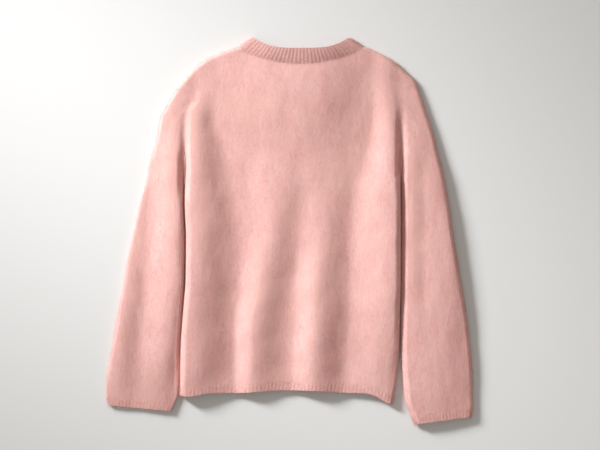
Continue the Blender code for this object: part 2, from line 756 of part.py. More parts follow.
def sleeve_rings(side, wrap_edge, front_arm):
    """Rings (section, point) from the armhole to the cuff: out over the top, and back underneath."""
    climb = mix(UNDERARM_Y, side.seam_tip[1], CLIMB)
    over = np.stack([side.armhole_x(climb, 1), climb], -1)
    armhole = np.concatenate([over, wrap_edge[::-1, :2][1:], front_arm[::-1, :2][1:-1]])
    top_count = len(over) + len(OUTER_STEPS) - 1
    inner = np.stack([side.inner(side.sections["inner"]), side.sections["inner"]], -1)
    outer = np.stack([side.outer(side.sections["outer"]), side.sections["outer"]], -1)
    line = outer[0] - inner[0]
    furthest = 1 - ARMHOLE_SPACING * np.abs(np.arange(len(armhole)) - top_count + 1)
    faced = np.clip((armhole - inner[0]) @ line / (line @ line), 0, furthest)
    faced[0] = 0
    plans = []
    for row, (start, end) in enumerate(zip(inner, outer)):
        share = mix(faced, ring_shares(np.linalg.norm(end - start)), min(1, row / 3))
        plans.append(start + (end - start) * share[:, None])
    plans = [mix(armhole, plans[0], share) for share in ARMHOLE_RINGS] + plans
    rings = []
    for plan in plans:
        top, low = np.split(plan, [top_count])
        rings.append(
            np.concatenate(
                [
                    points(*top.T, sleeve_top(side, *top.T)),
                    points(*low.T, sleeve_under(side, *low.T)),
                ]
            )
        )
    rings = np.array(rings)
    seam = rings[0, : len(CLIMB)]
    seam[:, 2] = mix(seam[:, 2], SLOT_SEAM, side.upright(seam[:, 1]))
    return rings


# Building the pieces


def grid_faces(rows, columns, ring=False, outward=1):
    """Four-sided faces of a grid of points, row by row, closed round if it is a ring."""
    index = np.arange(rows * columns).reshape(rows, columns)
    if ring:
        index = np.concatenate([index, index[:, :1]], 1)
    corners = (index[:-1, :-1], index[:-1, 1:], index[1:, 1:], index[1:, :-1])
    return np.stack([corner.ravel() for corner in corners[::outward]], -1)


def own_normals(places, faces):
    """A normal for each point, the sum of those of the faces round it."""
    corner = places[faces]
    across = np.cross(corner[:, 2] - corner[:, 0], corner[:, 3] - corner[:, 1])
    normals = np.zeros_like(places)
    for k in range(4):
        np.add.at(normals, faces[:, k], across)
    return normals


def seam_normals(sheets):
    """Unit normals of each sheet's points, one and the same for points that meet at a seam."""
    places = np.concatenate([places for places, _ in sheets])
    normals = np.concatenate([own_normals(*sheet) for sheet in sheets])
    tree = KDTree(len(places))
    for index, place in enumerate(places):
        tree.insert(place, index)
    tree.balance()
    shared = np.array([sum(normals[i] for _, i, _ in tree.find_range(place, MEET)) for place in places])
    shared /= np.linalg.norm(shared, axis=1, keepdims=True)
    return np.split(shared, np.cumsum([len(places) for places, _ in sheets])[:-1])


def cloth(collection, name, colour, places, normals, faces):
    """One piece of knit: its middle sheet, half a wall out and in, and the rims that close it."""
    places, normals = places.reshape(-1, 3), normals.reshape(-1, 3)
    out, back = places + normals * WALL / 2, places - normals * WALL / 2
    count = len(places)
    edges = {(a, b) for face in faces.tolist() for a, b in zip(face, face[1:] + face[:1])}
    order = places @ RIM_ORDER
    rims = []
    for a, b in sorted(edge for edge in edges if edge[::-1] not in edges):
        if order[a] < order[b]:
            rims += [(b, a, a + count), (b, a + count, b + count)]
        else:
            rims += [(b, a, b + count), (a, a + count, b + count)]
    mesh = bpy.data.meshes.new(name)
    walls = faces.tolist() + (faces[:, ::-1] + count).tolist() + rims
    mesh.from_pydata(np.concatenate([out, back]).tolist(), [], walls)
    mesh.shade_smooth()
    obj = bpy.data.objects.new(name, mesh)
    collection.objects.link(obj)
    material = bpy.data.materials.new(name)
    material.use_nodes = True
    shader = material.node_tree.nodes["Principled BSDF"]
    shader.inputs["Base Color"].default_value = colour
    shader.inputs["Roughness"].default_value = 0.95
    shader.inputs["Metallic"].default_value = 0
    mesh.materials.append(material)


def front_faces(count, rows, wraps, spans):
    """Faces of the front's flat and its two shoulder wraps, which start from the flat's last row."""
    faces = [grid_faces(rows, count, outward=-1)]
    start = rows * count
    for wrap, span in zip(wraps, spans):
        height, width = wrap.shape[:2]
        own = grid_faces(height, width, outward=-1)
        shared = (rows - 1) * count + np.arange(count)[span]
        faces.append(np.where(own < width, shared[own % width], start + own - width))
        start += (height - 1) * width
    return np.concatenate(faces)


def front_places(flat, wraps):
    return np.concatenate([flat.reshape(-1, 3)] + [wrap[1:].reshape(-1, 3) for wrap in wraps])


def build():
    for obj in list(bpy.data.objects):
        bpy.data.objects.remove(obj, do_unlink=True)
    collection = bpy.data.collections.new("mohair_sweater")
    bpy.context.scene.collection.children.link(collection)

    back, back_neck = back_sheet()
    front, front_neck, fold = front_sheet()
    spans = (slice(0, front_neck.start + 1), slice(front_neck.stop - 1, front.shape[1]))
    back_spans = (slice(0, back_neck.start + 1), slice(back_neck.stop - 1, back.shape[1]))
    wraps = [
        shoulder_wrap(front[:, span], fold[span], back[:, back_span])
        for span, back_span in zip(spans, back_spans)
    ]
    band = neck_band(back, back_neck, front, front_neck, wraps)
    arms = [
        sleeve_rings(LEFT, wraps[0][:, 0], front[-len(CLIMB) :, 0]),
        sleeve_rings(RIGHT, wraps[1][:, -1], front[-len(CLIMB) :, -1]),
    ]

    back_faces = grid_faces(*back.shape[:2])
    front_all = front_faces(front.shape[1], front.shape[0], wraps, spans)
    band_faces = grid_faces(*band.shape[:2], ring=True)
    arm_faces = [grid_faces(*arm.shape[:2], ring=True, outward=o) for arm, o in zip(arms, (1, -1))]
    sheets = [
        (back.reshape(-1, 3), back_faces),
        (front_places(front, wraps), front_all),
        (band.reshape(-1, 3), band_faces),
    ] + [(arm.reshape(-1, 3), faces) for arm, faces in zip(arms, arm_faces)]
    normals = seam_normals(sheets)

    back_normals = normals[0].reshape(back.shape)
    for name, colour, rows, ends in (
        ("hem_rib_back", PINK_BAND, slice(0, 2), (-1,)),
        ("back_panel", PINK, slice(1, None), (0, -1)),
    ):
        sheet = drawn_in(drawn_in(back[rows], 1, (0, -1)), 0, ends)
        cloth(collection, name, colour, sheet, back_normals[rows], grid_faces(*sheet.shape[:2]))

    count = front.shape[1]
    sheet = drawn_in(drawn_in(front[:2], 1, (0, -1)), 0, (-1,))
    faces = grid_faces(2, count, outward=-1)
    cloth(collection, "hem_rib_front", PINK_BAND, sheet, normals[1][: 2 * count], faces)
    flat = drawn_in(drawn_in(front[1:], 1, (0, -1)), 0, (0,))
    flat[-1, front_neck] = drawn_in(front, 0, (-1,))[-1, front_neck]
    wraps = [drawn_in(drawn_in(wrap, 1, (0, -1)), 0, (-1,)) for wrap in wraps]
    faces = front_faces(count, len(flat), wraps, spans)
    cloth(collection, "front_panel", PINK, front_places(flat, wraps), normals[1][count:], faces)

    cloth(collection, "neckband", PINK_BAND, drawn_in(band, 0, (0,)), normals[2], band_faces)
    for name, arm, arm_normals, outward in zip(("left", "right"), arms, normals[3:], (1, -1)):
        arm_normals = arm_normals.reshape(arm.shape)
        for part, colour, rows, ends in (
            ("sleeve", PINK_SLEEVE, slice(0, -1), (0, -1)),
            ("cuff", PINK_BAND, slice(-2, None), (0,)),
        ):
            sheet = drawn_in(arm[rows], 0, ends)
            faces = grid_faces(*sheet.shape[:2], ring=True, outward=outward)
            cloth(collection, f"{part}_{name}", colour, sheet, arm_normals[rows], faces)


build()
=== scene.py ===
"""Mohair sweater laid flat with its back up: its knit, ribs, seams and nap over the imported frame.

Metres, +Z up, hem towards -Y and neck towards +Y. Every sheet is worked out as the middle of its
cloth, and then gets its wall.
"""

import bpy
import numpy as np
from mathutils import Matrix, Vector


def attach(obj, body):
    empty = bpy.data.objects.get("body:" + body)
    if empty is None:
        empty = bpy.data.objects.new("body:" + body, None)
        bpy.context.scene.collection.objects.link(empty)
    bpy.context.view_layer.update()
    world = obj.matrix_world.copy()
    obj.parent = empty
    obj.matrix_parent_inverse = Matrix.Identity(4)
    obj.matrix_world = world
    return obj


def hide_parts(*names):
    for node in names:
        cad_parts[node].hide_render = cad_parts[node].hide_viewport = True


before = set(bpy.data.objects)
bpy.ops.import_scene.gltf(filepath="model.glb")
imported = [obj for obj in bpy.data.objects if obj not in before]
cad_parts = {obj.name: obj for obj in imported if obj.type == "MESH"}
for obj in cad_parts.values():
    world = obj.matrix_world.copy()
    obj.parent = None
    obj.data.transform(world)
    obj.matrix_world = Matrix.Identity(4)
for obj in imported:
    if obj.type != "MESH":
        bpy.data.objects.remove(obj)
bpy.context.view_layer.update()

# ------------------------------
# The back: one panel of thick brushed mohair, knitted in stocking stitch. It lies on the front,
# rolls over at both sides down to the side seams, and long folds run up it from the hem.
# ------------------------------

WALL = 0.0024  # brushed mohair knit, one layer
SEAM_GAP = 0.0001  # between two pieces where they are sewn together
HEM_RIB = 0.015  # height of the rib at the hem
FLOOR = WALL / 2  # middle of a layer that rests on the surface

# How the folded cloth rolls at its edges
EDGE = 0.0050  # height of the outline, where the cloth stands upright
INNER_EDGE = 0.0060  # the same where body and sleeve face each other
SIDE_SEAM = 0.0040  # height at which back and front meet at the side
SLOT_SEAM = 0.0055  # height of the armhole seam where body and sleeve face each other
OUTER_ROLL = 0.006  # width of the roll along the outline, on top
INNER_ROLL = 0.011  # columns of the sheets this near to a facing edge are close together
CREASE_HALF = 0.012  # half width of the crease between body and sleeve
BACK_NECK_Y = 0.2957  # lowest point of the back neck seam

# How the folds even out towards a free border: the level they come to, the share of their height
# above or below it that is left at the border, and how far from it they begin to
EVEN_HEM = (0.0138, 0.68, 0.050)
EVEN_LEFT_CUFF = (0.0050, 0.25, 0.095)
EVEN_RIGHT_CUFF = (0.0105, 0.62, 0.050)


def table(names, *rows):
    """The columns of a short table as arrays, by name. It is written in thousandths: millimetres, and
    thousandths of a share."""
    return dict(zip(names.split(), np.array(rows).T / 1000))


# The lower edge, from side seam to side seam
HEM = table(
    "x y",
    (-191, -291), (-180, -292.5), (-140, -287), (-90, -286.5), (-20, -282), (45, -282.5),
    (90, -286), (135, -287.5), (153, -292), (168, -300), (178, -305),
)

# Where body and sleeve face each other, and below the underarm the side of each
LEFT_EDGES = table(
    "y body sleeve",
    (-319, -191.5, -212), (-308, -191.5, -206), (-292, -191.7, -199), (-276, -191.8, -196.6),
    (-250, -191.8, -195), (-211, -191.2, -194.2), (-158, -188, -191), (-122, -185, -187.9),
    (-87, -182.6, -185.4), (-16, -181.8, -184.6), (55, -184.2, -187), (82, -184, -186.8),
    (128, -183.5, -186.3), (144, -184, -184), (208, -182, -182), (220, -174.5, -174.5),
    (233, -166.5, -166.5), (245, -167.5, -167.5),
)
RIGHT_EDGES = table(
    "y body sleeve",
    (-342, 180, 223.8), (-333, 180, 220.3), (-314, 180.2, 211.9), (-302, 181.5, 207.5),
    (-286, 185, 205), (-265, 189, 203.5), (-240, 191.8, 202), (-211, 193.7, 200.2),
    (-150, 195.5, 199.8), (-87, 197, 200.1), (0, 197.3, 200.4), (50, 196.9, 200),
    (82, 196.35, 199.65), (92, 196.35, 199.65), (108, 198, 198), (206, 198, 198),
    (237, 194.5, 194.5), (253.5, 188, 188),
)

# The crease between body and sleeve: how deep it is, from level to edge, and where it closes to a slot
LEFT_CREASE = table(
    "y depth slot",
    (-350, 1000, 1000), (45, 1000, 1000), (85, 880, 450), (118, 600, 0), (138, 420, 0),
    (160, 320, 0), (190, 200, 0), (225, 0, 0), (250, 0, 0),
)
RIGHT_CREASE = table(
    "y depth slot",
    (-350, 1000, 1000), (92, 1000, 1000), (108, 970, 0), (125, 900, 0), (150, 750, 0),
    (180, 500, 0), (205, 200, 0), (222, 0, 0), (255, 0, 0),
)

# The back armhole seam, from the underarm to the end of the shoulder seam
LEFT_ARMHOLE = table(
    "y x",
    (82, -183.3), (135, -183.3), (150, -187), (166, -191), (190, -191), (208, -187), (220, -178.5),
    (233, -171.5), (245, -172.2),
)
RIGHT_ARMHOLE = table(
    "y x",
    (82, 198), (96, 198), (110, 201.5), (130, 208.5), (149, 222.8), (172, 230.6), (207, 221),
    (237.5, 207.5), (253.5, 198),
)

# The shoulder seam on the back, and the fold of the shoulder, which is the front's
LEFT_SHOULDER_SEAM = table(
    "x y",
    (-172.2, 245), (-152.5, 268.2), (-140.9, 279.9), (-120, 295), (-101.2, 308.5), (-80.8, 318.6),
)
RIGHT_SHOULDER_SEAM = table(
    "x y",
    (122.5, 318.6), (140, 310), (158, 299), (172, 287), (184, 270), (198, 253.5),
)
LEFT_SHOULDER_FOLD = table(
    "x y",
    (-197, 253), (-189, 262.7), (-171.3, 282.2), (-160.6, 292.9), (-145.5, 303.5), (-120.7, 315),
    (-103, 321.3), (-86.1, 326.6),
)
RIGHT_SHOULDER_FOLD = table(
    "x y",
    (130.5, 326.1), (139, 323.4), (163.8, 311.7), (181.6, 302.1), (196.3, 289.7), (205.9, 280.5),
    (221.4, 265.9), (225.4, 258.3),
)

# The outer edge of each sleeve, from cuff to shoulder
LEFT_SLEEVE_EDGE = table(
    "y x",
    (-309, -318), (-300, -321.5), (-280, -322.3), (-250, -319.5), (-200, -311), (-150, -302.5),
    (-100, -293.5), (-50, -284.3), (0, -272.8), (55, -261), (90, -251.8), (126, -244.3),
    (161, -233.5), (197, -227.5), (225, -213.5), (240, -205), (253, -197),
)
RIGHT_SLEEVE_EDGE = table(
    "y x",
    (-329, 321), (-315, 324), (-300, 324.5), (-250, 323), (-200, 319), (-150, 313), (-100, 304.5),
    (-50, 296), (0, 288), (37, 283.4), (67, 278), (106, 271), (135, 263), (170, 255), (206, 243.5),
    (238, 232.8), (258.3, 225.4),
)

# Straight sections across each sleeve, below the armhole: where each meets the inner and the outer
# edge. The last two bound the cuff's rib.
LEFT_SECTIONS = table(
    "inner outer",
    (78.5, 205), (76, 172), (71, 136), (62, 95), (40, 52), (0, 3), (-52, -50), (-105, -103),
    (-158, -156), (-211, -207), (-260, -254), (-304, -294), (-319, -309),
)
RIGHT_SECTIONS = table(
    "inner outer",
    (78.5, 203), (76, 170), (71, 136), (62, 97), (40, 52), (0, 3), (-55, -53), (-110, -106),
    (-165, -159), (-220, -212), (-275, -264), (-327, -314), (-342, -329),
)

# Level of the cloth on top where no fold lifts it
LEVEL = table(
    "y z",
    (-310, 5.2), (-150, 5.2), (0, 5.6), (150, 7.2), (250, 8.8), (330, 8.4),
)


def fold(*rows):
    """A fold along the garment: the line of its crest, how far it rises, and how far off its feet lie."""
    return table("y x rise left right", *rows)


BODY_FOLDS = (
    fold(  # roll along the left side
        (-300, -172, 15, 90, 80), (-158, -171, 16.5, 90, 80), (-16, -164, 16.5, 90, 82),
        (55, -165, 15, 90, 75), (126, -166, 12.5, 90, 62), (161, -166, 10.5, 90, 48),
        (200, -165, 7.5, 90, 36), (250, -160, 1.5, 90, 36),
    ),
    fold(  # fold left of the middle
        (-300, -65, 11.5, 36, 62), (-229, -64, 12, 37, 62), (-158, -60, 11.5, 38, 62),
        (-87, -46, 9, 44, 58), (-16, -33, 6.5, 50, 56), (55, -25, 5, 56, 60), (150, -30, 0, 60, 60),
    ),
    fold(  # fold right of the middle
        (-300, 44, 14, 45, 60), (-229, 46, 14.5, 45, 62), (-158, 50, 13.5, 46, 60),
        (-87, 53, 11, 46, 60), (-16, 60, 7, 48, 56), (55, 66, 3.5, 55, 55), (130, 66, 0, 55, 55),
    ),
    fold(  # long slope and roll along the right side
        (-300, 168, 5.5, 80, 40), (-229, 176, 8, 80, 38), (-158, 183, 12.5, 82, 34),
        (-87, 187.5, 16, 86, 32), (55, 188.5, 17, 84, 32), (120, 186, 13.5, 58, 34),
        (180, 181, 9.5, 40, 38), (215, 177, 7, 32, 40), (260, 172, 2.5, 30, 40),
    ),
    fold(  # the upper back, which stands off the front and falls away toward the right shoulder
        (-80, 10, 0, 150, 110), (60, 25, 4, 170, 115), (126, 30, 5.8, 180, 118),
        (175, 32, 8.5, 190, 120), (200, 34, 10, 210, 115), (245, 45, 11.2, 230, 108),
        (275, 48, 10.5, 240, 104), (296, 50, 8.8, 240, 104), (330, 50, 4.5, 240, 104),
    ),
)
LEFT_SLEEVE_FOLDS = (
    fold(  # ridge near the body
        (-310, -224, 7, 62, 36), (-250, -221.5, 7.8, 64, 38), (-208, -216, 9.5, 60, 42),
        (-158, -208, 11.4, 62, 43), (-87, -200, 13.8, 66, 40), (-16, -198.5, 14.2, 60, 38),
        (55, -198.5, 13.8, 56, 38), (126, -200, 11, 56, 44), (200, -198, 5, 50, 60),
        (250, -190, 2.5, 50, 60),
    ),
    fold(  # ridge near the outer edge
        (-310, -302, 4.5, 30, 40), (-229, -299, 5, 30, 42), (-158, -290, 4.2, 30, 38),
        (-87, -278, 2.8, 30, 34), (-16, -262, 1, 28, 28), (55, -250, 0, 28, 28),
    ),
)
RIGHT_SLEEVE_FOLDS = (
    fold(  # low ridge near the body
        (-335, 220, 0, 60, 30), (-200, 220, 0.5, 60, 30), (-87, 216, 3, 60, 28),
        (55, 215, 4, 60, 28), (120, 215, 2.5, 60, 30), (200, 215, 0, 60, 36),
    ),
    fold(  # the sleeve's own roundness
        (-335, 258, 9.6, 140, 110), (-229, 268, 11.2, 140, 110), (-158, 277, 12.6, 150, 88),
        (-87, 285, 13.6, 145, 56), (0, 277, 13, 130, 54), (55, 266, 11.8, 120, 58),
        (126, 244, 8.5, 110, 60), (200, 220, 3, 80, 60), (250, 210, 0, 60, 60),
    ),
)

UNDERARM_Y = LEFT_ARMHOLE["y"][0]  # the same on both sides

# How finely the sheets are cut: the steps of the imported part, each divided again
FINER = 5


def finer(values):
    """A row of values with each step between two of them divided into FINER equal ones."""
    places = np.linspace(0, len(values) - 1, (len(values) - 1) * FINER + 1)
    return np.interp(places, np.arange(len(values)), values)


BELOW_UNDERARM = np.linspace(0, 1, 90)  # rows from the hem's rib to the underarm
CLIMB = finer([0, 0.06, 0.17, 0.28, 0.39, 0.50, 0.62, 0.74, 0.87, 1.0])  # rows along the armhole
ROLL_STEPS = np.radians(finer([0, 30, 60, 90]))  # columns round the roll at the body's side
OUTER_STEPS = np.radians(finer([90, 60, 30, 0]))  # round the outer roll, on top
UNDER_STEPS = np.radians(finer([0, 45, 90]))  # and underneath
STRIP = finer([0, 0.5, 1.0])  # columns from the armhole or side seam to the roll
SHOULDER_COLUMNS = 4 * FINER  # of the back, between the roll and the neck
BACK_NECK_COLUMNS = 12 * FINER


def smooth(at, places, values):
    """Monotone cubic through the values at their places, level past its ends."""
    at = np.clip(at, places[0], places[-1])
    step = np.diff(places)
    slope = np.diff(values) / step
    tangent = np.concatenate([slope[:1], np.zeros(len(slope) - 1), slope[-1:]])
    product, total = slope[:-1] * slope[1:], slope[:-1] + slope[1:]
    level = product <= 0
    tangent[1:-1] = np.where(level, 0, 2 * product / np.where(level, 1, total))
    k = np.clip(np.searchsorted(places, at, "right") - 1, 0, len(step) - 1)
    t = (at - places[k]) / step[k]
    start = (1 + 2 * t) * (1 - t) ** 2 * values[k] + t * (1 - t) ** 2 * step[k] * tangent[k]
    return start + t * t * (3 - 2 * t) * values[k + 1] - t * t * (1 - t) * step[k] * tangent[k + 1]


def read(rows, column, at):
    """A table's column at other places of its first one."""
    return smooth(at, next(iter(rows.values())), rows[column])


def crest(t):
    """Raised cosine: 1 on the crest of a fold and 0 at its feet."""
    return 0.5 * (1 + np.cos(np.pi * np.clip(np.abs(t), 0, 1)))


def rounded(t):
    """Quarter ellipse: 0 and upright at an edge, 1 and level where the roll ends."""
    return np.sqrt(np.clip(1 - (1 - np.clip(t, 0, 1)) ** 2, 0, 1))


def roll_places(width, steps):
    """Distances from an edge at which a quarter ellipse of this width turns by the given angles."""
    return width * (1 - np.cos(steps))


def mix(a, b, share):
    return a + (b - a) * share


def along(edge, y):
    """Points of an edge, given as a function of y, at these heights."""
    return np.stack([edge(y), y], -1)


def distance(x, y, line):
    """Distance in plan from each point to a line of straight pieces."""
    start, run = line[:-1], np.diff(line, axis=0)
    dx, dy = x[..., None] - start[:, 0], y[..., None] - start[:, 1]
    t = np.clip((dx * run[:, 0] + dy * run[:, 1]) / (run**2).sum(1), 0, 1)
    return np.hypot(dx - t * run[:, 0], dy - t * run[:, 1]).min(-1)


class Side:
    """The tables of one side of the garment, and the lines worked out from them."""

    def __init__(self, sign, even_cuff, rolls, *tables):
        self.sign, self.even_cuff = sign, even_cuff
        self.body_roll, self.sleeve_roll = rolls
        self.edges, self.crease, self.armhole, self.seam, self.fold = tables[:5]
        self.sleeve_edge, self.sections, self.folds = tables[5:]
        tip, neck = (0, -1) if sign < 0 else (-1, 0)
        self.fold_tip, self.fold_neck, self.seam_tip, self.seam_neck = (
            np.array([line["x"][end], line["y"][end]])
            for line in (self.fold, self.seam)
            for end in (tip, neck)
        )
        self.pit = np.array([self.armhole["x"][0], UNDERARM_Y])
        x = np.linspace(self.fold_tip[0], self.fold_neck[0], 24)[1:]
        sleeve_line = along(self.outer, np.linspace(*self.sleeve_edge["y"][[0, -1]], 60))
        self.outline = np.concatenate([sleeve_line, np.stack([x, read(self.fold, "y", x)], -1)])
        y = np.linspace(self.edges["y"][0], UNDERARM_Y, 40)
        self.body_line, self.inner_line = along(self.body, y), along(self.inner, y)

    def body(self, y):
        return read(self.edges, "body", y)

    def inner(self, y):
        return read(self.edges, "sleeve", y)

    def outer(self, y):
        return read(self.sleeve_edge, "x", y)

    def slot(self, y):
        return read(self.crease, "slot", y)

    def upright(self, y):
        """Whether body and sleeve stand face to face at the armhole seam, half a gap and a wall each."""
        return np.where(self.slot(y) > 0.5, 1.0, 0.0)

    def armhole_x(self, y, toward):
        """The armhole seam, moved toward the sleeve (1) or the body (-1) where the two are face to face."""
        return read(self.armhole, "x", y) + self.sign * toward * self.upright(y) * (WALL + SEAM_GAP) / 2

    def sink(self, x, y, level, edge, roll, slack):
        """The level of the cloth, let down to the crease or the edge at the given x by a roll of this
        width, and as far as it is slack by a slope."""
        low = mix(level, np.minimum(level, INNER_EDGE), read(self.crease, "depth", y))
        away = np.abs(x - edge)
        soft = 1 - crest(away / CREASE_HALF)
        upright = mix(rounded(away / roll), 1 - crest(away / roll), slack)
        return low + (level - low) * mix(soft, upright, self.slot(y))


LEFT = Side(
    -1, EVEN_LEFT_CUFF, (0.0033, 0.0055), LEFT_EDGES, LEFT_CREASE, LEFT_ARMHOLE, LEFT_SHOULDER_SEAM,
    LEFT_SHOULDER_FOLD, LEFT_SLEEVE_EDGE, LEFT_SECTIONS, LEFT_SLEEVE_FOLDS,
)
RIGHT = Side(
    1, EVEN_RIGHT_CUFF, (0.0036, 0.0100), RIGHT_EDGES, RIGHT_CREASE, RIGHT_ARMHOLE, RIGHT_SHOULDER_SEAM,
    RIGHT_SHOULDER_FOLD, RIGHT_SLEEVE_EDGE, RIGHT_SECTIONS, RIGHT_SLEEVE_FOLDS,
)

STRAY = 0.0011  # how far a fold's crest strays to either side
STRAY_WAVES = ((0.118, 1.9, 1.0), (0.051, 2.7, 0.5))  # length, phase from one fold to the next, share
WAVES = 14  # sine waves in each bank of hollows


def stray(y, fold):
    """Sideways shift of a fold's crest along the garment: a slow sine wave and a quicker half of it."""
    waves = (part * np.sin(2 * np.pi * y / length + phase * fold) for length, phase, part in STRAY_WAVES)
    return STRAY * sum(waves)


def wave_bank(seed, across, down):
    """Sine waves about this long: their turns per metre across and along the garment, and phases."""
    rng = np.random.default_rng(seed)
    shorter = rng.uniform(0.6, 1.5, WAVES)
    turns = rng.choice([-1, 1], WAVES) * shorter / across
    return np.stack([turns, rng.uniform(-1.3, 1.3, WAVES) / down, rng.uniform(0, 2 * np.pi, WAVES)], -1)


# The wide and the small hollows that handling leaves: their depth, and their waves
HOLLOWS = ((0.00014, wave_bank(3, 0.056, 0.120)), (0.00004, wave_bank(8, 0.019, 0.046)))


def uneven(x, y):
    """Height of the hollows: the sum of both banks' waves, each bank levelled."""
    z = np.zeros_like(x)
    for depth, bank in HOLLOWS:
        for across, down, phase in bank:
            z = z + depth * np.sin(2 * np.pi * (across * x + down * y) + phase) / np.sqrt(WAVES / 2)
    return z


def folded(x, y, folds):
    """The level of the top cloth with these folds on it, each a raised cosine across its crest."""
    z = read(LEVEL, "z", y)
    for number, fold in enumerate(folds):
        away = x - read(fold, "x", y) - stray(y, number)
        foot = np.where(away < 0, read(fold, "left", y), read(fold, "right", y))
        z = z + read(fold, "rise", y) * crest(away / foot)
    return z


def level_on_top(x, y):
    """The body's folds pass into each sleeve's across the line between them; the outline rolls off."""
    z = folded(x, y, BODY_FOLDS)
    for side in (LEFT, RIGHT):
        between = (side.body(y) + side.inner(y)) / 2
        share = 1 - crest(np.clip((side.sign * (x - between) + CREASE_HALF) / (2 * CREASE_HALF), 0, 1))
        z = mix(z, folded(x, y, side.folds), share)
    z = z + uneven(x, y)
    for side in (LEFT, RIGHT):
        z = EDGE + (z - EDGE) * rounded(distance(x, y, side.outline) / OUTER_ROLL)
    return z


def evened(z, away, even):
    """The cloth with its folds evened out towards a free border, by how far away that is."""
    level, share, begin = even
    return level + (z - level) * mix(1, share, crest(away / begin))


def body_top(x, y):
    """The level on top, let down at the hem, and at both sides to the crease beside the sleeve."""
    z = evened(level_on_top(x, y), y - read(HEM, "y", x), EVEN_HEM)
    for side in (LEFT, RIGHT):
        z = side.sink(x, y, z, side.body(y), side.body_roll, 0)
    return z


def points(x, y, z):
    return np.stack(np.broadcast_arrays(x, y, z), -1)


def rows_up(hem_y, top_y):
    """Heights (rows, columns): the hem's rib, then up to the underarm, then up to the top edge."""
    seam = mix(hem_y + HEM_RIB, UNDERARM_Y, BELOW_UNDERARM[:, None])
    return np.concatenate([hem_y[None], seam, mix(UNDERARM_Y, top_y, CLIMB[1:, None])])


def shares_across(ends, neck_ends, columns, middle):
    """Shares of the width between two ends: the columns of both shoulders, and the neck's between."""
    left, right = (np.array(neck_ends) - ends[0]) / (ends[1] - ends[0])
    shoulders = np.linspace(0, left, columns + 1)[:-1], np.linspace(right, 1, columns + 1)[1:]
    return np.concatenate([shoulders[0], mix(left, right, middle), shoulders[1]])


def back_x(y, share):
    """x at the heights y (rows, columns): seam strip and roll at each side, shares of the width between."""
    roll = roll_places(INNER_ROLL, ROLL_STEPS)
    toward_roll = np.concatenate([STRIP, np.ones(len(roll) - 1)])
    past_edge = np.concatenate([np.zeros(len(STRIP) - 1), roll])
    count = len(toward_roll)
    ends = []
    for side, yy in ((LEFT, y[:, :count]), (RIGHT, y[:, ::-1][:, :count])):
        edge = side.body(yy)
        seam = np.where(yy < UNDERARM_Y, edge, side.armhole_x(yy[:, :1], -1))
        ends.append(mix(seam, edge, toward_roll) - side.sign * past_edge)
    middle = y[:, count:-count]
    left, right = (side.body(middle) - side.sign * INNER_ROLL for side in (LEFT, RIGHT))
    return np.concatenate([ends[0], mix(left, right, share[1:-1]), ends[1][:, ::-1]], 1)


def back_top_y(x):
    """Upper edge of the back: the shoulder seams, and a parabola for the neck between them."""
    middle = (LEFT.seam_neck + RIGHT.seam_neck) / 2
    half = (RIGHT.seam_neck[0] - LEFT.seam_neck[0]) / 2
    neck = BACK_NECK_Y + (middle[1] - BACK_NECK_Y) * ((x - middle[0]) / half) ** 2
    shoulders = np.where(x < middle[0], read(LEFT.seam, "y", x), read(RIGHT.seam, "y", x))
    return np.where(np.abs(x - middle[0]) < half, neck, shoulders)


def back_sheet():
    """The back, columns from the hem up to the shoulder seams and the neck, and the neck's columns."""
    ends = [side.body(side.seam_tip[1]) - side.sign * INNER_ROLL for side in (LEFT, RIGHT)]
    neck_ends = [side.seam_neck[0] for side in (LEFT, RIGHT)]
    share = shares_across(ends, neck_ends, SHOULDER_COLUMNS, np.linspace(0, 1, BACK_NECK_COLUMNS + 1))
    beside = len(STRIP) + len(ROLL_STEPS) - 2
    across = np.concatenate([np.zeros(beside), share, np.ones(beside)])
    level = mix(LEFT.seam_tip[1], RIGHT.seam_tip[1], across)[None]
    top_y = back_top_y(back_x(level, share)[0])
    hem_y = read(HEM, "y", back_x(np.full_like(level, HEM["y"].mean()), share)[0])
    y = rows_up(hem_y, top_y)
    x = back_x(y, share)
    z = body_top(x, y)
    below = np.arange(len(y))[:, None] <= len(BELOW_UNDERARM)
    strip = mix(np.where(below, SIDE_SEAM, SLOT_SEAM), INNER_EDGE, STRIP)
    for side, columns in ((LEFT, np.arange(len(STRIP))), (RIGHT, -1 - np.arange(len(STRIP)))):
        z[:, columns] = mix(z[:, columns], strip, side.upright(y[:, columns[:1]]))
    first = beside + SHOULDER_COLUMNS
    return points(x, y, z), slice(first, first + BACK_NECK_COLUMNS + 1)


def quads(index, outward=1):
    """Four-sided faces of a grid of point numbers, row by row; outward is -1 to turn them over."""
    corners = (index[:-1, :-1], index[:-1, 1:], index[1:, 1:], index[1:, :-1])
    return np.stack([corner.ravel() for corner in corners[::outward]], -1)


def numbered(rows, columns):
    return np.arange(rows * columns).reshape(rows, columns)


def closed_round(grid):
    """The grid with its first column again after its last."""
    return np.concatenate([grid, grid[:, :1]], 1)


def unit(vectors):
    return vectors / np.maximum(np.linalg.norm(vectors, axis=-1, keepdims=True), 1e-12)


def facing(corner):
    """Which way each four-sided face faces, as long as twice its area."""
    return np.cross(corner[:, 2] - corner[:, 0], corner[:, 3] - corner[:, 1])


def own_normals(places, faces):
    """A unit normal for each point, the sum of those of the faces round it."""
    across = facing(places[faces])
    normals = np.zeros_like(places)
    for k in range(4):
        np.add.at(normals, faces[:, k], across)
    return unit(normals)


def run_lengths(grid, axis):
    """Length run along each line of the grid, from its first point."""
    steps = np.linalg.norm(np.diff(grid, axis=axis), axis=-1)
    first = np.zeros_like(np.take(steps, [0], axis))
    return np.cumsum(np.concatenate([first, steps], axis), axis)


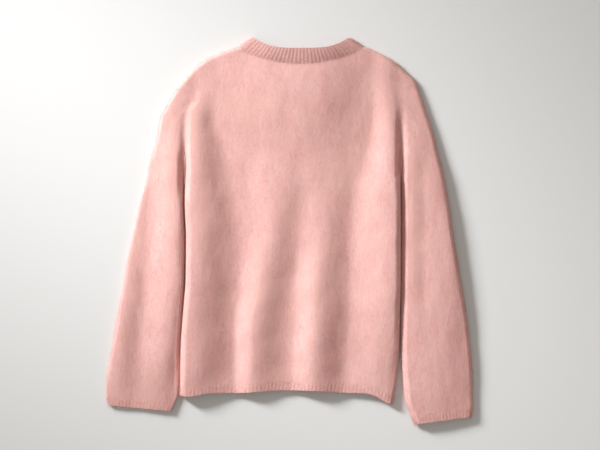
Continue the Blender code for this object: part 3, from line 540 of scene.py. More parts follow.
def knit_places(grid):
    """Each point's place in the knit in metres: across from the middle column, along from the first row."""
    across = run_lengths(grid, 1)
    across -= across[:, across.shape[1] // 2][:, None]
    return np.stack([across, run_lengths(grid, 0)], -1)


def drawn_in(grid, ends, sides=()):
    """The sheet with borders drawn in, square to each, by half a seam gap: at these sides of its columns,
    then at these ends of its rows, where 0 is the first and -1 the last."""
    if sides:
        grid = drawn_in(grid.swapaxes(0, 1), sides).swapaxes(0, 1)
    grid = grid.copy()
    for end, next_in in ((0, 1), (-1, -2)):
        if end in ends:
            inward = grid[next_in] - grid[end]
            border = unit(np.gradient(grid[end], axis=0))
            inward = inward - (inward * border).sum(-1, keepdims=True) * border
            grid[end] += SEAM_GAP / 2 * unit(inward)
    return grid


def placed(name, data):
    """A new object of this data, in the scene."""
    thing = bpy.data.objects.new(name, data)
    bpy.context.scene.collection.objects.link(thing)
    return thing


def dressed(name, places, faces, materials):
    """An object of smooth faces with the same number of corners, which rides on the frame."""
    mesh = bpy.data.meshes.new(name)
    mesh.vertices.add(len(places))
    mesh.vertices.foreach_set("co", places.ravel())
    mesh.loops.add(faces.size)
    mesh.loops.foreach_set("vertex_index", faces.ravel())
    mesh.polygons.add(len(faces))
    mesh.polygons.foreach_set("loop_start", np.arange(0, faces.size, faces.shape[1]))
    mesh.update(calc_edges=True)
    mesh.shade_smooth()
    for material in materials:
        mesh.materials.append(material)
    piece = placed(name, mesh)
    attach(piece, "root")
    return piece


PAINTED_LIGHT_SIDE = np.array([-0.82, 0.57, 0.0])  # painted light and shade: slopes that lean toward the key light, up and to the left, are painted palest, and those that lean away deepest


class Sheet:
    """The middle sheet of one piece of cloth, which gets its wall once all of them are there."""

    def __init__(self, node, slot, material, places, faces, knit, knit_faces=None, share=1.0):
        self.name = node.removesuffix("_panel") + "_knit"
        self.node, self.slot, self.material = node, slot, material
        self.places, self.knit = places.reshape(-1, 3), knit.reshape(-1, 2)
        self.faces = faces
        self.knit_faces = faces if knit_faces is None else knit_faces
        self.half_wall = WALL / 2 * np.broadcast_to(np.ravel(share), len(self.places))
        self.normals = own_normals(self.places, faces)
        start, end = faces.ravel(), np.roll(faces, -1, 1).ravel()
        count = len(self.places)
        self.open_edges = ~np.isin(end * count + start, start * count + end)
        self.border = np.unique(start[self.open_edges])

    def outer(self):
        return self.places + self.normals * self.half_wall[:, None]

    def rim(self, faces):
        """Both ends of each open edge, as these faces number their corners."""
        return (ends.ravel()[self.open_edges] for ends in (faces, np.roll(faces, -1, 1)))

    def shell(self):
        """Both layers, half a wall out and in, and a rim of four-sided faces along each open border."""
        count = len(self.places)
        a, b = self.rim(self.faces)
        faces = [self.faces, self.faces[:, ::-1] + count, np.stack([b, a, a + count, b + count], -1)]
        a, b = self.rim(self.knit_faces)
        knit_faces = [self.knit_faces, self.knit_faces[:, ::-1], np.stack([b, a, a, b], -1)]
        knit = self.knit[np.concatenate(knit_faces)]
        places = np.concatenate([self.outer(), 2 * self.places - self.outer()])
        piece = dressed(self.name, places, np.concatenate(faces), [self.material])
        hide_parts(self.node)
        normals = np.concatenate([self.normals, -self.normals])
        piece.data.uv_layers.new(name="knit").data.foreach_set("uv", knit.ravel())
        # painted light and shade: how far each point's slope leans toward the key light
        pale = (normals @ PAINTED_LIGHT_SIDE * normals[:, 2] ** 2).astype(np.float32)
        piece.data.attributes.new("painted_light_side", "FLOAT", "POINT").data.foreach_set("value", pale)
        piece.data.normals_split_custom_set_from_vertices(normals)
        return piece


def panel(node, slot, material, grid, outward=1, share=1.0):
    """The sheet of a plain grid."""
    faces = quads(numbered(*grid.shape[:2]), outward)
    return Sheet(node, slot, material, grid, faces, knit_places(grid), share=share)


class Wire:
    """A value, colour or vector on its way through a material; sums on values add Math nodes."""

    def __init__(self, tree, socket=None):
        self.tree, self.socket = tree, socket

    def node(self, kind, settings=None, sockets=None):
        """A new node of this kind: its settings, then values or wires for its sockets by name."""
        node = self.tree.nodes.new("ShaderNode" + kind)
        for key, value in (settings or {}).items():
            if key == "stops":
                for stop, (place, shade) in zip(node.color_ramp.elements, value):
                    stop.position, stop.color = place, (shade, shade, shade, 1)
            else:
                setattr(node, key, value)
        for key, value in (sockets or {}).items():
            if isinstance(value, Wire):
                self.tree.links.new(value.socket, node.inputs[key])
            else:
                node.inputs[key].default_value = value
        return Wire(self.tree, node.outputs[0])

    def output(self, key):
        return Wire(self.tree, self.socket.node.outputs[key])

    def sum(self, operation, *values):
        return self.node("Math", {"operation": operation}, dict(enumerate(values)))

    def __add__(self, other):
        return self.sum("ADD", self, other)

    def __radd__(self, other):
        return self.sum("ADD", other, self)

    def __sub__(self, other):
        return self.sum("SUBTRACT", self, other)

    def __rsub__(self, other):
        return self.sum("SUBTRACT", other, self)

    def __mul__(self, other):
        return self.sum("MULTIPLY", self, other)

    def __rmul__(self, other):
        return self.sum("MULTIPLY", other, self)


def new_material(name, looks):
    """A material whose shader has these constants on its sockets."""
    material = bpy.data.materials.new(name)
    material.use_nodes = True
    shader = material.node_tree.nodes["Principled BSDF"]
    for socket, value in looks.items():
        shader.inputs[socket].default_value = value
    return material, material.node_tree, shader


STITCH_WIDE, STITCH_HIGH = 0.0042, 0.0034  # one knitted stitch
# The knit's noises: turns a metre across and along it, detail, shift and distortion
NOISES = {
    "blotches": (13, 9, 1.5, 3.1, 0.0),
    "patches": (46, 24, 2.0, 7.7, 0.0),
    "streaks": (150, 46, 2.0, 12.3, 0.4),
    "flecks": (420, 150, 2.0, 21.9, 0.8),
    "hairs": (900, 260, 2.0, 33.3, 1.2),
}
TONE = 0.558  # between the deep and the light colour, where all of these are even
TONE_SHARES = {
    "patches": 0.32,
    "streaks": 0.3,
    "flecks": 0.6,
    "hairs": 0.6,
    "stitches": 0.06,
    # painted light and shade: slopes toward the key light paler, away from it deeper
    "painted_light_side": 0.6,
}
RELIEF_SHARES = {"streaks": 0.5, "flecks": 0.35, "hairs": 0.12, "stitches": 0.3}
BRUSHED = {
    "Roughness": 0.95,
    "Specular IOR Level": 0.15,
    "Subsurface Weight": 0.15,
    "Subsurface Radius": (0.0030, 0.0013, 0.0011),
    "Subsurface Scale": 1.0,
    "Sheen Weight": 0.12,
    "Sheen Roughness": 0.55,
    "Sheen Tint": (1.0, 0.94, 0.92, 1),
}
PINK = ((0.89, 0.570, 0.536, 1), (0.70, 0.315, 0.276, 1), (0.84, 0.490, 0.435, 1))  # light, deep, peach


def knit_material(name, colours, stitches):
    """Brushed mohair. Slow noise passes from rose to peach; noise drawn out along the knit gives the
    streaks and flecks of the nap; rows of V-shaped stitches show through where the nap is thin. Slopes
    that face the key light are painted paler and those that face away painted deeper: painted light and
    shade."""
    light, deep, peach = colours
    material, tree, shader = new_material(name, BRUSHED)
    wire = Wire(tree)
    place = wire.node("UVMap", {"uv_map": "knit"})
    parts = {}
    for kind, (across, down, detail, shift, distortion) in NOISES.items():
        drawn = wire.node(
            "Mapping", {}, {"Vector": place, "Scale": (across, down, 1), "Location": (shift, shift, 0)}
        )
        sockets = {"Vector": drawn, "Scale": 1.0, "Detail": detail, "Distortion": distortion}
        parts[kind] = wire.node("TexNoise", {"noise_dimensions": "2D"}, sockets)

    apart = wire.node("SeparateXYZ", {}, {"Vector": place})
    leg = wire.sum("ABSOLUTE", wire.sum("FRACT", apart.output("X") * (1 / STITCH_WIDE)) - 0.5)
    course = wire.sum("SINE", (apart.output("Y") * (1 / STITCH_HIGH) + leg * 1.3) * (2 * np.pi))
    thin_nap = wire.node("ValToRGB", {"stops": [(0.46, 0.0), (0.66, 1.0)]}, {"Fac": parts["patches"]})
    stitch = (course * 0.5 + 0.5) * (1 - leg * leg * 3.2)
    parts["stitches"] = stitch * (thin_nap * 0.8 + 0.2) * stitches
    # painted light and shade, read from each point's lean toward the key light
    parts["painted_light_side"] = wire.node("Attribute", {"attribute_name": "painted_light_side"}).output("Fac")

    tone, height = TONE, 0.0
    for kind, share in TONE_SHARES.items():
        even = 0.5 if kind in NOISES else 0.0
        tone = tone + (parts[kind] - even) * share
    for kind, share in RELIEF_SHARES.items():
        height = height + parts[kind] * share
    blend = {"data_type": "RGBA", "clamp_factor": True}
    rose = wire.node("Mix", blend, {0: tone, 6: deep, 7: light}).output(2)
    warm = wire.node("ValToRGB", {"stops": [(0.42, 0.0), (0.72, 0.5)]}, {"Fac": parts["blotches"]})
    colour = wire.node("Mix", blend, {0: warm, 6: rose, 7: peach}).output(2)
    bump = wire.node("Bump", {}, {"Height": height, "Strength": 0.35, "Distance": 0.0012})
    tree.links.new(colour.socket, shader.inputs["Base Color"])
    tree.links.new(bump.socket, shader.inputs["Normal"])
    return material


KNIT = knit_material("brushed_knit", PINK, 1.0)

back, back_neck = back_sheet()
back_grid = drawn_in(back[1:], (0, -1), (0, -1))
sheets = {"back": panel("back_panel", "brushed_knit", KNIT, back_grid)}

# ------------------------------
# The front: one panel of the same knit. It lies flat on the surface under the back, turns up at
# the sides to the side seams, and wraps over both shoulders to the seams set back on the back.
# ------------------------------

UNDERARM_Z = 0.0030  # height of the front's corner at the underarm
UNDER_ROLL = 0.007  # width of every roll, underneath
NECK_X = 0.0217  # middle of the neck
FRONT_NECK_Y = 0.240  # lowest point of the front neck seam
FRONT_NECK = finer([-1, -0.92, -0.74, -0.44, 0, 0.44, 0.74, 0.92, 1])  # columns across the front neck
FRONT_NECK_POWER = 2.5  # of the curve that the front neck seam runs in
FOLD_DROP = 0.010  # from the shoulder's fold down to where the front lies flat
FRONT_HEM_LIFT = 0.004  # in the middle, the front's hem lies this much above the back's


def body_under(x, y):
    """The front lies flat, and turns up at the sides below the arms and at the shoulders' folds."""
    z = np.full_like(x, FLOOR)
    for side in (LEFT, RIGHT):
        z = z + (EDGE - FLOOR) * (1 - rounded(distance(x, y, side.outline) / UNDER_ROLL))
        z = z + (SIDE_SEAM - FLOOR) * (1 - rounded(distance(x, y, side.body_line) / UNDER_ROLL))
    return z


def front_side_x(side, y):
    """The side seam below the underarm, and above it the straight front armhole seam."""
    up = np.clip((y - UNDERARM_Y) / (side.fold_tip[1] - UNDERARM_Y), 0, 1)
    arm = mix(side.pit[0], side.fold_tip[0], up)
    return np.where(y < UNDERARM_Y + SEAM_GAP, side.body(y), arm)


def front_x(y, share):
    """x at the heights y (rows, columns): a roll at each side, shares of the width between."""
    roll = roll_places(UNDER_ROLL, UNDER_STEPS)
    count = len(roll)
    left = front_side_x(LEFT, y[:, :count]) + roll
    right = front_side_x(RIGHT, y[:, -count:]) - roll[::-1]
    middle = y[:, count:-count]
    inner = [front_side_x(side, middle) - side.sign * UNDER_ROLL for side in (LEFT, RIGHT)]
    return np.concatenate([left, mix(inner[0], inner[1], share[1:-1]), right], 1)


def front_sheet():
    """The front where it lies flat, the neck's columns, and where each column meets the shoulder's fold."""
    ends = [side.fold_tip[0] - side.sign * UNDER_ROLL for side in (LEFT, RIGHT)]
    beside = len(UNDER_STEPS) - 1
    shoulder = SHOULDER_COLUMNS + len(STRIP) + len(ROLL_STEPS) - 2 - beside
    neck_ends = [side.fold_neck[0] for side in (LEFT, RIGHT)]
    share = shares_across(ends, neck_ends, shoulder, (FRONT_NECK + 1) / 2)
    neck = slice(beside + shoulder, beside + shoulder + len(FRONT_NECK))
    across = np.concatenate([np.zeros(beside), share, np.ones(beside)])
    level = mix(LEFT.fold_tip[1], RIGHT.fold_tip[1], across)[None]
    fold_x = front_x(level, share)[0]
    fold_y = np.where(fold_x < NECK_X, read(LEFT.fold, "y", fold_x), read(RIGHT.fold, "y", fold_x))
    top_y = fold_y - FOLD_DROP
    corners = (top_y[neck][0] + top_y[neck][-1]) / 2
    top_y[neck] = FRONT_NECK_Y + (corners - FRONT_NECK_Y) * np.abs(FRONT_NECK) ** FRONT_NECK_POWER
    hem_x = front_x(np.full_like(level, HEM["y"].mean()), share)[0]
    y = rows_up(read(HEM, "y", hem_x) + FRONT_HEM_LIFT * np.sin(np.pi * across), top_y)
    x = front_x(y, share)
    z = body_under(x, y)
    z[: len(BELOW_UNDERARM), [0, -1]] = SIDE_SEAM
    z[len(BELOW_UNDERARM), [0, -1]] = UNDERARM_Z
    return points(x, y, z), neck, np.stack([fold_x, fold_y], -1)


def shoulder_wrap(front, fold, back):
    """The front turned over the shoulder: from its flat round the fold to the seam on the back."""
    under = [mix(front[-1, :, :2], fold, s) for s in finer([0, 0.6, 1])]
    over = [mix(fold, back[-1, :, :2], 1 - np.cos(step)) for step in OUTER_STEPS[::-1][1:]]
    rows = [points(*plan.T, body_under(*plan.T)) for plan in under[:-1]]
    return np.array(rows + [points(*plan.T, body_top(*plan.T)) for plan in under[-1:] + over])


def front_index(count, rows, wraps, spans):
    """Faces of the front's flat and its two shoulder wraps, which start from the flat's last row."""
    faces = [quads(numbered(rows, count), -1)]
    start = rows * count
    for wrap, span in zip(wraps, spans):
        height, width = wrap.shape[:2]
        index = start - width + numbered(height, width)
        index[0] = (rows - 1) * count + np.arange(count)[span]
        faces.append(quads(index, -1))
        start += (height - 1) * width
    return np.concatenate(faces)


front, front_neck, front_fold = front_sheet()
spans = (slice(0, front_neck.start + 1), slice(front_neck.stop - 1, front.shape[1]))
back_spans = (slice(0, back_neck.start + 1), slice(back_neck.stop - 1, back.shape[1]))
wraps = [
    shoulder_wrap(front[:, span], front_fold[span], back[:, back_span])
    for span, back_span in zip(spans, back_spans)
]
flat = drawn_in(front[1:], (0,), (0, -1))
flat[-1, front_neck] = drawn_in(front, (-1,))[-1, front_neck]
sewn_wraps = [drawn_in(wrap, (-1,), (0, -1)) for wrap in wraps]
front_faces = front_index(front.shape[1], len(flat), sewn_wraps, spans)
front_places = np.concatenate([flat.reshape(-1, 3)] + [wrap[1:].reshape(-1, 3) for wrap in sewn_wraps])
front_knit = [knit_places(flat)]
for wrap, span in zip(sewn_wraps, spans):
    front_knit.append(knit_places(wrap)[1:] * (0, 1) + front_knit[0][-1, span])
front_knit = np.concatenate([part.reshape(-1, 2) for part in front_knit])
sheets["front"] = Sheet("front_panel", "brushed_knit", KNIT, front_places, front_faces, front_knit)

# ------------------------------
# The sleeves: a tube of knit each, set in at the dropped armhole and closed along its under side.
# They lie beside the body, slack, the left with two ridges down its top and the right rounded.
# ------------------------------

SLACK = 0.45  # how much of a slope, and how little of a roll, the sleeve has beside the body
ARMHOLE_RINGS = np.linspace(0, 1, 13)[:-1]  # rings between the armhole and the first straight section
ARMHOLE_SPACING = 0.022 / FINER  # least share of that section between two points facing the armhole
ARMHOLE_REACH = 3  # sections over which the rings lose the armhole's spacing
SECTION_STEPS = 6  # rings from one straight section to the next
SLEEVE_KNIT = knit_material("brushed_sleeve_knit", PINK, 0.8)


def sleeve_top(side, x, y):
    """The level on top, let down to the crease beside the body and to the cuff's edge."""
    cuff = along(side.inner, side.sections["inner"][-1]), along(side.outer, side.sections["outer"][-1])
    z = evened(level_on_top(x, y), distance(x, y, np.array(cuff)), side.even_cuff)
    return side.sink(x, y, z, side.inner(y), side.sleeve_roll, SLACK)


def sleeve_under(side, x, y):
    """Flat on the surface, rolled up along the outer edge and along the one beside the body."""
    outer = 1 - rounded(distance(x, y, side.outline) / UNDER_ROLL)
    inner = 1 - rounded(distance(x, y, side.inner_line) / UNDER_ROLL)
    return FLOOR + (EDGE - FLOOR) * outer + (INNER_EDGE - FLOOR) * inner


def ring_shares(length):
    """Places round a straight section, as shares from the inner to the outer edge: on top, then back."""
    near = roll_places(INNER_ROLL, ROLL_STEPS) / length
    far = 1 - roll_places(OUTER_ROLL, OUTER_STEPS) / length
    low_far = 1 - roll_places(UNDER_ROLL, UNDER_STEPS) / length
    low_near = roll_places(UNDER_ROLL, UNDER_STEPS[::-1]) / length
    top = np.linspace(near[-1], far[0], len(CLIMB) - len(near) + 2)[1:-1]
    low = np.linspace(low_far[-1], low_near[0], len(CLIMB) - len(low_near) + 1)[1:-1]
    return np.concatenate([near, top, far[1 - len(OUTER_STEPS) :], low_far[1:], low, low_near[:-1]])


def sleeve_rings(side, wrap_edge, front_arm):
    """Rings (section, point) from the armhole to the cuff: out over the top, and back underneath."""
    climb = mix(UNDERARM_Y, side.seam_tip[1], CLIMB)
    over = np.stack([side.armhole_x(climb, 1), climb], -1)
    armhole = np.concatenate([over, wrap_edge[::-1, :2][1:], front_arm[::-1, :2][1:-1]])
    top_count = len(over) + len(OUTER_STEPS) - 1
    rows = np.arange(len(side.sections["inner"]))
    between = np.linspace(0, rows[-1], rows[-1] * SECTION_STEPS + 1)
    inner = along(side.inner, smooth(between, rows, side.sections["inner"]))
    outer = along(side.outer, smooth(between, rows, side.sections["outer"]))
    line = outer[0] - inner[0]
    furthest = 1 - ARMHOLE_SPACING * np.abs(np.arange(len(armhole)) - top_count + 1)
    faced = np.clip((armhole - inner[0]) @ line / (line @ line), 0, furthest)
    faced[0] = 0
    plans = []
    for row, start, end in zip(between, inner, outer):
        share = mix(faced, ring_shares(np.linalg.norm(end - start)), min(1, row / ARMHOLE_REACH))
        plans.append(start + (end - start) * share[:, None])
    plans = np.array([mix(armhole, plans[0], share) for share in ARMHOLE_RINGS] + plans)
    top, low = plans[:, :top_count], plans[:, top_count:]
    z = [sleeve_top(side, top[..., 0], top[..., 1]), sleeve_under(side, low[..., 0], low[..., 1])]
    rings = np.concatenate([plans, np.concatenate(z, 1)[..., None]], -1)
    seam = rings[0, : len(CLIMB)]
    seam[:, 2] = mix(seam[:, 2], SLOT_SEAM, side.upright(seam[:, 1]))
    return rings


def tube(node, slot, material, rings, outward, share=1.0):
    """The sheet of a grid that closes round on itself."""
    rows, columns = rings.shape[:2]
    faces = quads(closed_round(numbered(rows, columns)), outward)
    knit_faces = quads(numbered(rows, columns + 1), outward)
    return Sheet(node, slot, material, rings, faces, knit_places(closed_round(rings)), knit_faces, share)


arms = {
    "left": sleeve_rings(LEFT, wraps[0][:, 0], front[-len(CLIMB) :, 0]),
    "right": sleeve_rings(RIGHT, wraps[1][:, -1], front[-len(CLIMB) :, -1]),
}
for (hand, rings), outward in zip(arms.items(), (1, -1)):
    rings = drawn_in(rings[:-SECTION_STEPS], (0, -1))
    node = f"sleeve_{hand}"
    sheets[node] = tube(node, "brushed_sleeve_knit", SLEEVE_KNIT, rings, outward)

# ------------------------------
# The neckband: a ring of rib, one knit and one purl, picked up along the neck seam and cast off
# at its free edge. It folds at both shoulders with the neck.
# ------------------------------

BAND_BACK_Y = 0.3237  # free edge of the neckband, middle of the back
BAND_FRONT_Y = 0.266  # free edge of the neckband, middle of the front
BAND_PEAK_Y = 0.3417  # free edge at the folds beside the neck
BAND_BACK_Z = 0.0195  # height of the free edge, middle of the back
BAND_HALF = 0.0834  # half width between the two folds of the band's free edge
BAND_FOLD = 0.004  # width of that fold
BAND_FOLD_RISE = 0.0055  # from the fold up to the band's back
BAND_BACK_POWER, BAND_BACK_Z_POWER = 3.4, 3  # of the curves that the free edge runs in on the back
BAND_FRONT_POWER = 2.6  # and in front
BAND_RIBS = 74
BAND_ROWS = 12
BAND_RIB_RISE = 0.0004
BAND_CROWN = 0.0007  # how far the band's middle stands out
RIB_COLUMNS = 8  # points across one rib
RIB_FADE = 0.3  # share of the band over which the ribs fade out towards where it is sewn on
RIB_FULLNESS = 0.8  # below 1 for ridges that are wider than the valleys
THIN_EDGE = 0.40  # share of the wall left at a free border, where the knit curls round
THIN_WIDTH = 0.0034  # how far from the border the wall is whole again
RIB_PINK = ((0.77, 0.455, 0.422, 1), (0.62, 0.310, 0.285, 1), (0.73, 0.425, 0.375, 1))
RIB_KNIT = knit_material("brushed_rib", RIB_PINK, 0.0)


def across_both(low, high, count, closed):
    """Two facing lines, each read at the same count of places, equal lengths apart on their middle."""
    lines = np.stack([low, high])
    if closed:
        lines = closed_round(lines)
    run = run_lengths(lines.mean(0), 0)
    at = np.linspace(0, run[-1], count + closed)[:count]
    return [np.stack([np.interp(at, run, line[:, k]) for k in range(3)], -1) for line in lines]


def ribbed(low, high, ribs, rise, crown, closed, outward):
    """A band of rib between two lines: straight across, crowned in its middle, and raised along its
    normals by the ribs, each a rounded ridge with a narrow valley beside it."""
    count = ribs * RIB_COLUMNS + (not closed)
    low, high = across_both(low, high, count, closed)
    share = np.linspace(0, 1, BAND_ROWS)[:, None]
    grid = mix(low, high, share[..., None])
    index = numbered(*grid.shape[:2])
    if closed:
        index = closed_round(index)
    normals = own_normals(grid.reshape(-1, 3), quads(index, outward)).reshape(grid.shape)
    ridge = np.abs(np.cos(np.pi * np.arange(count) / RIB_COLUMNS)) ** RIB_FULLNESS - 0.5
    raised = rise * ridge * rounded(share / RIB_FADE) + crown * np.sin(np.pi * share)
    return grid + normals * raised[..., None]


def on_the_surface(grid):
    """The grid, no point of it lower than cloth that rests on the surface."""
    return np.concatenate([grid[..., :2], np.maximum(grid[..., 2:], FLOOR)], -1)


def thinned(grid):
    """Share of the full wall at each point of a grid whose last row is a free border."""
    run = run_lengths(grid, 0)
    return mix(THIN_EDGE, 1, rounded((run[-1] - run) / THIN_WIDTH))


def neck_lines(back, back_neck, front, front_neck, wraps):
    """The band's seam and free edge: along the back neck, round the right shoulder, and back in front."""
    left_turn, right_turn = wraps[0][::-1, -1], wraps[1][::-1, 0]
    around_front = front[-1, front_neck][::-1][1:]
    base = np.concatenate([back[-1, back_neck], right_turn[1:], around_front, left_turn[::-1][1:-1]])
    turn = np.concatenate([OUTER_STEPS[1:], -UNDER_STEPS[1:]])
    half = BAND_HALF - BAND_FOLD
    peak_y = BAND_PEAK_Y - BAND_FOLD / 2
    peak_z = EDGE + BAND_FOLD_RISE
    out = np.linspace(-1, 1, BACK_NECK_COLUMNS + 1)
    back_y = mix(BAND_BACK_Y, peak_y, np.abs(out) ** BAND_BACK_POWER)
    back_z = mix(BAND_BACK_Z, peak_z, np.abs(out) ** BAND_BACK_Z_POWER)
    front_y = mix(BAND_FRONT_Y, peak_y, np.abs(FRONT_NECK) ** BAND_FRONT_POWER)
    front_edge = points(NECK_X + half * FRONT_NECK, front_y, FLOOR)
    rise = np.where(turn > 0, BAND_FOLD_RISE, EDGE - FLOOR)
    left_fold, right_fold = (
        points(
            NECK_X + sign * (half + BAND_FOLD * np.cos(turn)),
            peak_y + BAND_FOLD / 2 * np.cos(turn),
            EDGE + rise * np.sin(turn),
        )
        for sign in (-1, 1)
    )
    back_edge = points(NECK_X + half * out, back_y, back_z)
    return base, np.concatenate([back_edge, right_fold, front_edge[::-1][1:], left_fold[::-1][1:]])


seam_line, free_line = neck_lines(back, back_neck, front, front_neck, wraps)
band = ribbed(seam_line, free_line, BAND_RIBS, BAND_RIB_RISE, BAND_CROWN, True, 1)
band = on_the_surface(drawn_in(band, (0,)))
sheets["neckband"] = tube("neckband", "brushed_rib", RIB_KNIT, band, 1, thinned(band))

# ------------------------------
# The ribs at the hem and the cuffs: narrow, slack bands of the same rib, knitted on in one with
# the panels, so brushed over that little more than their edges shows.
# ------------------------------

HEM_RIBS, CUFF_RIBS = 60, 36
HEM_RIB_RISE = 0.0002
EDGE_KNIT = knit_material("brushed_edge", PINK, 0.0)

hem_lines = {"back": (back[1], back[0]), "front": (front[1], front[0])}
for (name, (sewn, free)), outward in zip(hem_lines.items(), (-1, 1)):
    rib = ribbed(sewn, free, HEM_RIBS, HEM_RIB_RISE, 0.0, False, outward)
    rib = on_the_surface(drawn_in(rib, (0,), (0, -1)))
    sheets[f"hem_{name}"] = panel(
        f"hem_rib_{name}", "brushed_rib", EDGE_KNIT, rib, outward, thinned(rib)
    )
for (hand, rings), outward in zip(arms.items(), (1, -1)):
    rib = ribbed(rings[-1 - SECTION_STEPS], rings[-1], CUFF_RIBS, HEM_RIB_RISE, 0.0, True, outward)
    rib = on_the_surface(drawn_in(rib, (0,)))
    node = f"cuff_{hand}"
    sheets[node] = tube(node, "brushed_rib", EDGE_KNIT, rib, outward, thinned(rib))

# ------------------------------
# Sewing up: where two pieces meet, border points that lie near each other share their normals, so
# that their walls run on from one to the next. Then each sheet gets its wall.
# ------------------------------

MEET = 0.0016  # how near border points of two pieces are to be sewn together
LEAST = 1e-6  # weight of a point at just that distance


def sew(sheets):
    """Adds to the normal of every border point the mean normal of the other sheets' near ones, each
    weighted by how near it is."""
    places = np.concatenate([sheet.places[sheet.border] for sheet in sheets])
    normals = np.concatenate([sheet.normals[sheet.border] for sheet in sheets])
    counts = [len(sheet.border) for sheet in sheets]
    owner = np.repeat(np.arange(len(sheets)), counts)
    squares = (places**2).sum(1)
    away = np.sqrt(np.maximum(squares[:, None] + squares - 2 * places @ places.T, 0))
    near = (away <= MEET) & (owner[:, None] != owner)
    weights = np.where(near, 1 - away / MEET + LEAST, 0)
    sewn = unit(normals + weights @ normals / np.maximum(weights.sum(1, keepdims=True), LEAST))
    for sheet, part in zip(sheets, np.split(sewn, np.cumsum(counts)[:-1])):
        sheet.normals[sheet.border] = part


sew(list(sheets.values()))
pieces = {name: sheet.shell() for name, sheet in sheets.items()}

# ------------------------------
# The nap: mohair hair brushed up out of the knit. Short fuzz covers all of it, and longer hairs
# lie over it; both point down the garment and stand off it along the outlines.
# ------------------------------

HAIR = 0.00006  # half a hair's thickness at its root
ROOTED = 0.0003  # how deep the root is in the cloth
FUZZ_LENGTH, HAIR_LENGTH = 0.0052, 0.0100  # mean lengths of the two kinds
LIE = 0.13  # mean angle at which a hair lifts off the cloth
STAND_OFF = 0.55  # how much more it lifts along an outline
LOWEST, HIGHEST = 0.05, 1.2  # between which its lift stays
COMBED = 0.95  # how far hairs stray from pointing down the garment
ASTRAY = 1 / 6  # share of the hairs that point any way
BEND = 0.6  # how far a bent hair turns at its knee
UNDERNEATH = 0.15  # how densely the cloth on the surface is covered, for 1 on top
ON_STEEP = 5  # how much more densely upright cloth is
SHADES = ((0.92, 0.61, 0.57, 1), (0.87, 0.50, 0.46, 1), (0.78, 0.38, 0.34, 1))
SHADE_SHARES = (0.42, 0.40, 0.18)
LOOSE = {"Roughness": 0.7, "Specular IOR Level": 0.2, "Sheen Weight": 0.2, "Sheen Roughness": 0.5}
NAP = [
    new_material(f"nap_{name}", {"Base Color": colour, **LOOSE})[0]
    for name, colour in zip(("pale", "rose", "deep"), SHADES)
]


def nap(name, sheet, count, seed, length, bent):
    """Hairs that stand evenly over the sheet's outer side, each a triangle drawn out to a point; a bent
    one has a second triangle on its way. Each points down the garment, turned by a normal draw, and
    some any way. It lies on the surface or above it."""
    rng = np.random.default_rng(seed)
    corner = sheet.outer()[sheet.faces]
    square = facing(corner)
    dense = 1 + ON_STEEP * (1 - np.abs(unit(square)[:, 2]))
    size = np.linalg.norm(square, axis=1) * np.where(corner[..., 2].max(1) < 2 * FLOOR, UNDERNEATH, dense)
    pick = rng.choice(len(corner), count, p=size / size.sum())
    s, t = rng.random((2, count, 1))
    c = corner[pick]
    root = (c[:, 0] * (1 - s) + c[:, 1] * s) * (1 - t) + (c[:, 3] * (1 - s) + c[:, 2] * s) * t
    normal = unit(square[pick])
    down = unit(np.array([0, -1, 0]) + normal * normal[:, 1:2])
    across = unit(np.cross(normal, down))
    turn = np.where(
        rng.random(count) < ASTRAY, rng.uniform(-np.pi, np.pi, count), rng.normal(0, COMBED, count)
    )
    rise = LIE * (0.3 + rng.exponential(0.7, count))
    rise = rise + STAND_OFF * (1 - np.abs(normal[:, 2])) * rng.random(count)

    def heading(turn, rise):
        flat = down * np.cos(turn)[:, None] + across * np.sin(turn)[:, None]
        return unit(flat * np.cos(rise)[:, None] + normal * np.sin(rise)[:, None])

    reach = length * rng.uniform(0.5, 1.5, count)[:, None]
    first = heading(turn, np.clip(rise, LOWEST, HIGHEST))
    second = heading(turn + rng.normal(0, BEND, count), rise * rng.uniform(-0.5, 0.8, count))
    knee = root + first * reach * 0.5
    tip = knee + (second if bent else first) * reach * 0.5
    line = np.stack([root - normal * ROOTED, knee, tip])
    line[..., 2] = np.maximum(line[..., 2], 2 * HAIR)
    side = unit(np.cross(first, normal))
    angles = np.radians([0, 120, 240])[:, None, None]
    ring = np.cos(angles) * side + np.sin(angles) * np.cross(first, side)
    girth = HAIR * rng.uniform(0.8, 1.3, count)[:, None]
    if bent:
        verts = np.concatenate([line[0] + ring * girth, line[1] + ring * girth * 0.8, line[2][None]])
        one = [(0, 2, 1), (3, 4, 6), (4, 5, 6), (5, 3, 6)]
        one += [(0, 1, 4), (0, 4, 3), (1, 2, 5), (1, 5, 4), (2, 0, 3), (2, 3, 5)]
    else:
        verts = np.concatenate([line[0] + ring * girth, line[2][None]])
        one = [(0, 2, 1), (0, 1, 3), (1, 2, 3), (2, 0, 3)]
    triangles = (np.array(one)[None] + len(verts) * np.arange(count)[:, None, None]).reshape(-1, 3)
    hairs = dressed(name, verts.transpose(1, 0, 2).reshape(-1, 3), triangles, NAP)
    shades = np.repeat(rng.choice(3, count, p=SHADE_SHARES), len(one))
    hairs.data.polygons.foreach_set("material_index", shades)


# How many short and long hairs each piece carries
HAIRS = {
    "back": (28000, 4500),
    "front": (9000, 1200),
    "sleeve_left": (23000, 3000),
    "sleeve_right": (23000, 3000),
    "neckband": (5500, 300),
    "hem_back": (3000, 500),
    "hem_front": (1600, 300),
    "cuff_left": (2200, 350),
    "cuff_right": (2200, 350),
}
for seed, (name, (short, long)) in enumerate(HAIRS.items(), 21):
    nap(f"fuzz_{name}", sheets[name], short, seed, FUZZ_LENGTH, False)
    nap(f"hair_{name}", sheets[name], long, seed + 20, HAIR_LENGTH, True)

# ------------------------------
# The plain surface that it lies on, the studio's soft light from the upper left, and the camera,
# which looks straight down.
# ------------------------------

SURFACE = 5.0  # half its width
FRAME_WIDE = 1.065  # what the camera takes in from side to side, on the surface
CAMERA = (0.0195, 0.0107, 4.0)
SENSOR = 36.0

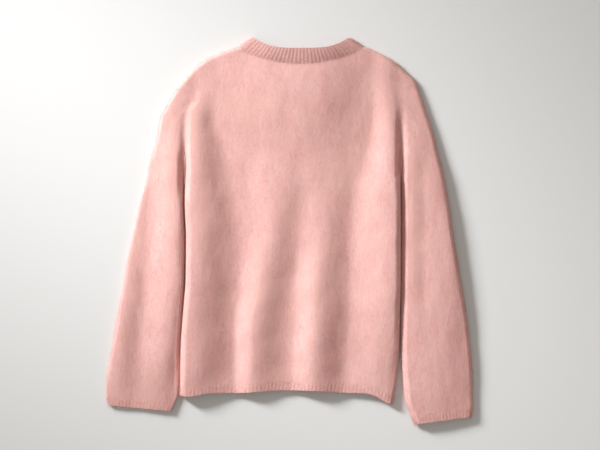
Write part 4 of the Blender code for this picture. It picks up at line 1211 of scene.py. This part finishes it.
material, tree, shader = new_material("pale_surface", {"Roughness": 0.9, "Specular IOR Level": 0.1})
wire = Wire(tree)
place = wire.node("TexCoord").output("Object")
grain = wire.node("TexNoise", {}, {"Vector": place, "Scale": 900.0, "Detail": 2.0})
greys = {0: grain, 6: (0.82, 0.82, 0.815, 1), 7: (0.85, 0.85, 0.845, 1)}
tree.links.new(wire.node("Mix", {"data_type": "RGBA"}, greys).output(2).socket, shader.inputs["Base Color"])
mesh = bpy.data.meshes.new("surface")
corners = [(x * SURFACE, y * SURFACE, 0) for x, y in ((-1, -1), (1, -1), (1, 1), (-1, 1))]
mesh.from_pydata(corners, [], [(0, 1, 2, 3)])
mesh.materials.append(material)
placed("surface", mesh)


def lamp(name, kind, azimuth, rise, away, aim, settings):
    """A lamp of this kind standing off the surface's middle by its bearing, rise and distance."""
    azimuth, rise = np.radians([azimuth, rise])
    level = away * np.cos(rise)
    stand = placed(name, bpy.data.lights.new(name, kind))
    stand.location = (level * np.cos(azimuth), level * np.sin(azimuth), away * np.sin(rise))
    stand.rotation_euler = (Vector((*aim, 0)) - stand.location).to_track_quat("-Z", "Y").to_euler()
    stand.data.color = (0.975, 0.985, 1.0)
    for key, value in settings.items():
        setattr(stand.data, key, value)


BEAM = {"shadow_soft_size": 0.42, "energy": 1150.0, "spot_size": np.radians(16), "spot_blend": 1.0}
lamp("key", "AREA", 145, 21, 3.5, (0, 0), {"shape": "DISK", "size": 0.60, "energy": 83.0})
lamp("beam", "SPOT", 143, 26, 5.0, (-0.10, 0.07), BEAM)

world = bpy.data.worlds.new("studio")
world.use_nodes = True
world.node_tree.nodes["Background"].inputs["Color"].default_value = (1.0, 0.955, 0.89, 1)
world.node_tree.nodes["Background"].inputs["Strength"].default_value = 0.362
bpy.context.scene.world = world

camera = placed("camera", bpy.data.cameras.new("camera"))
camera.data.sensor_width = SENSOR
camera.data.lens = SENSOR * CAMERA[2] / FRAME_WIDE
camera.location = CAMERA
bpy.context.scene.camera = camera
bpy.context.scene.view_settings.view_transform = "Standard"
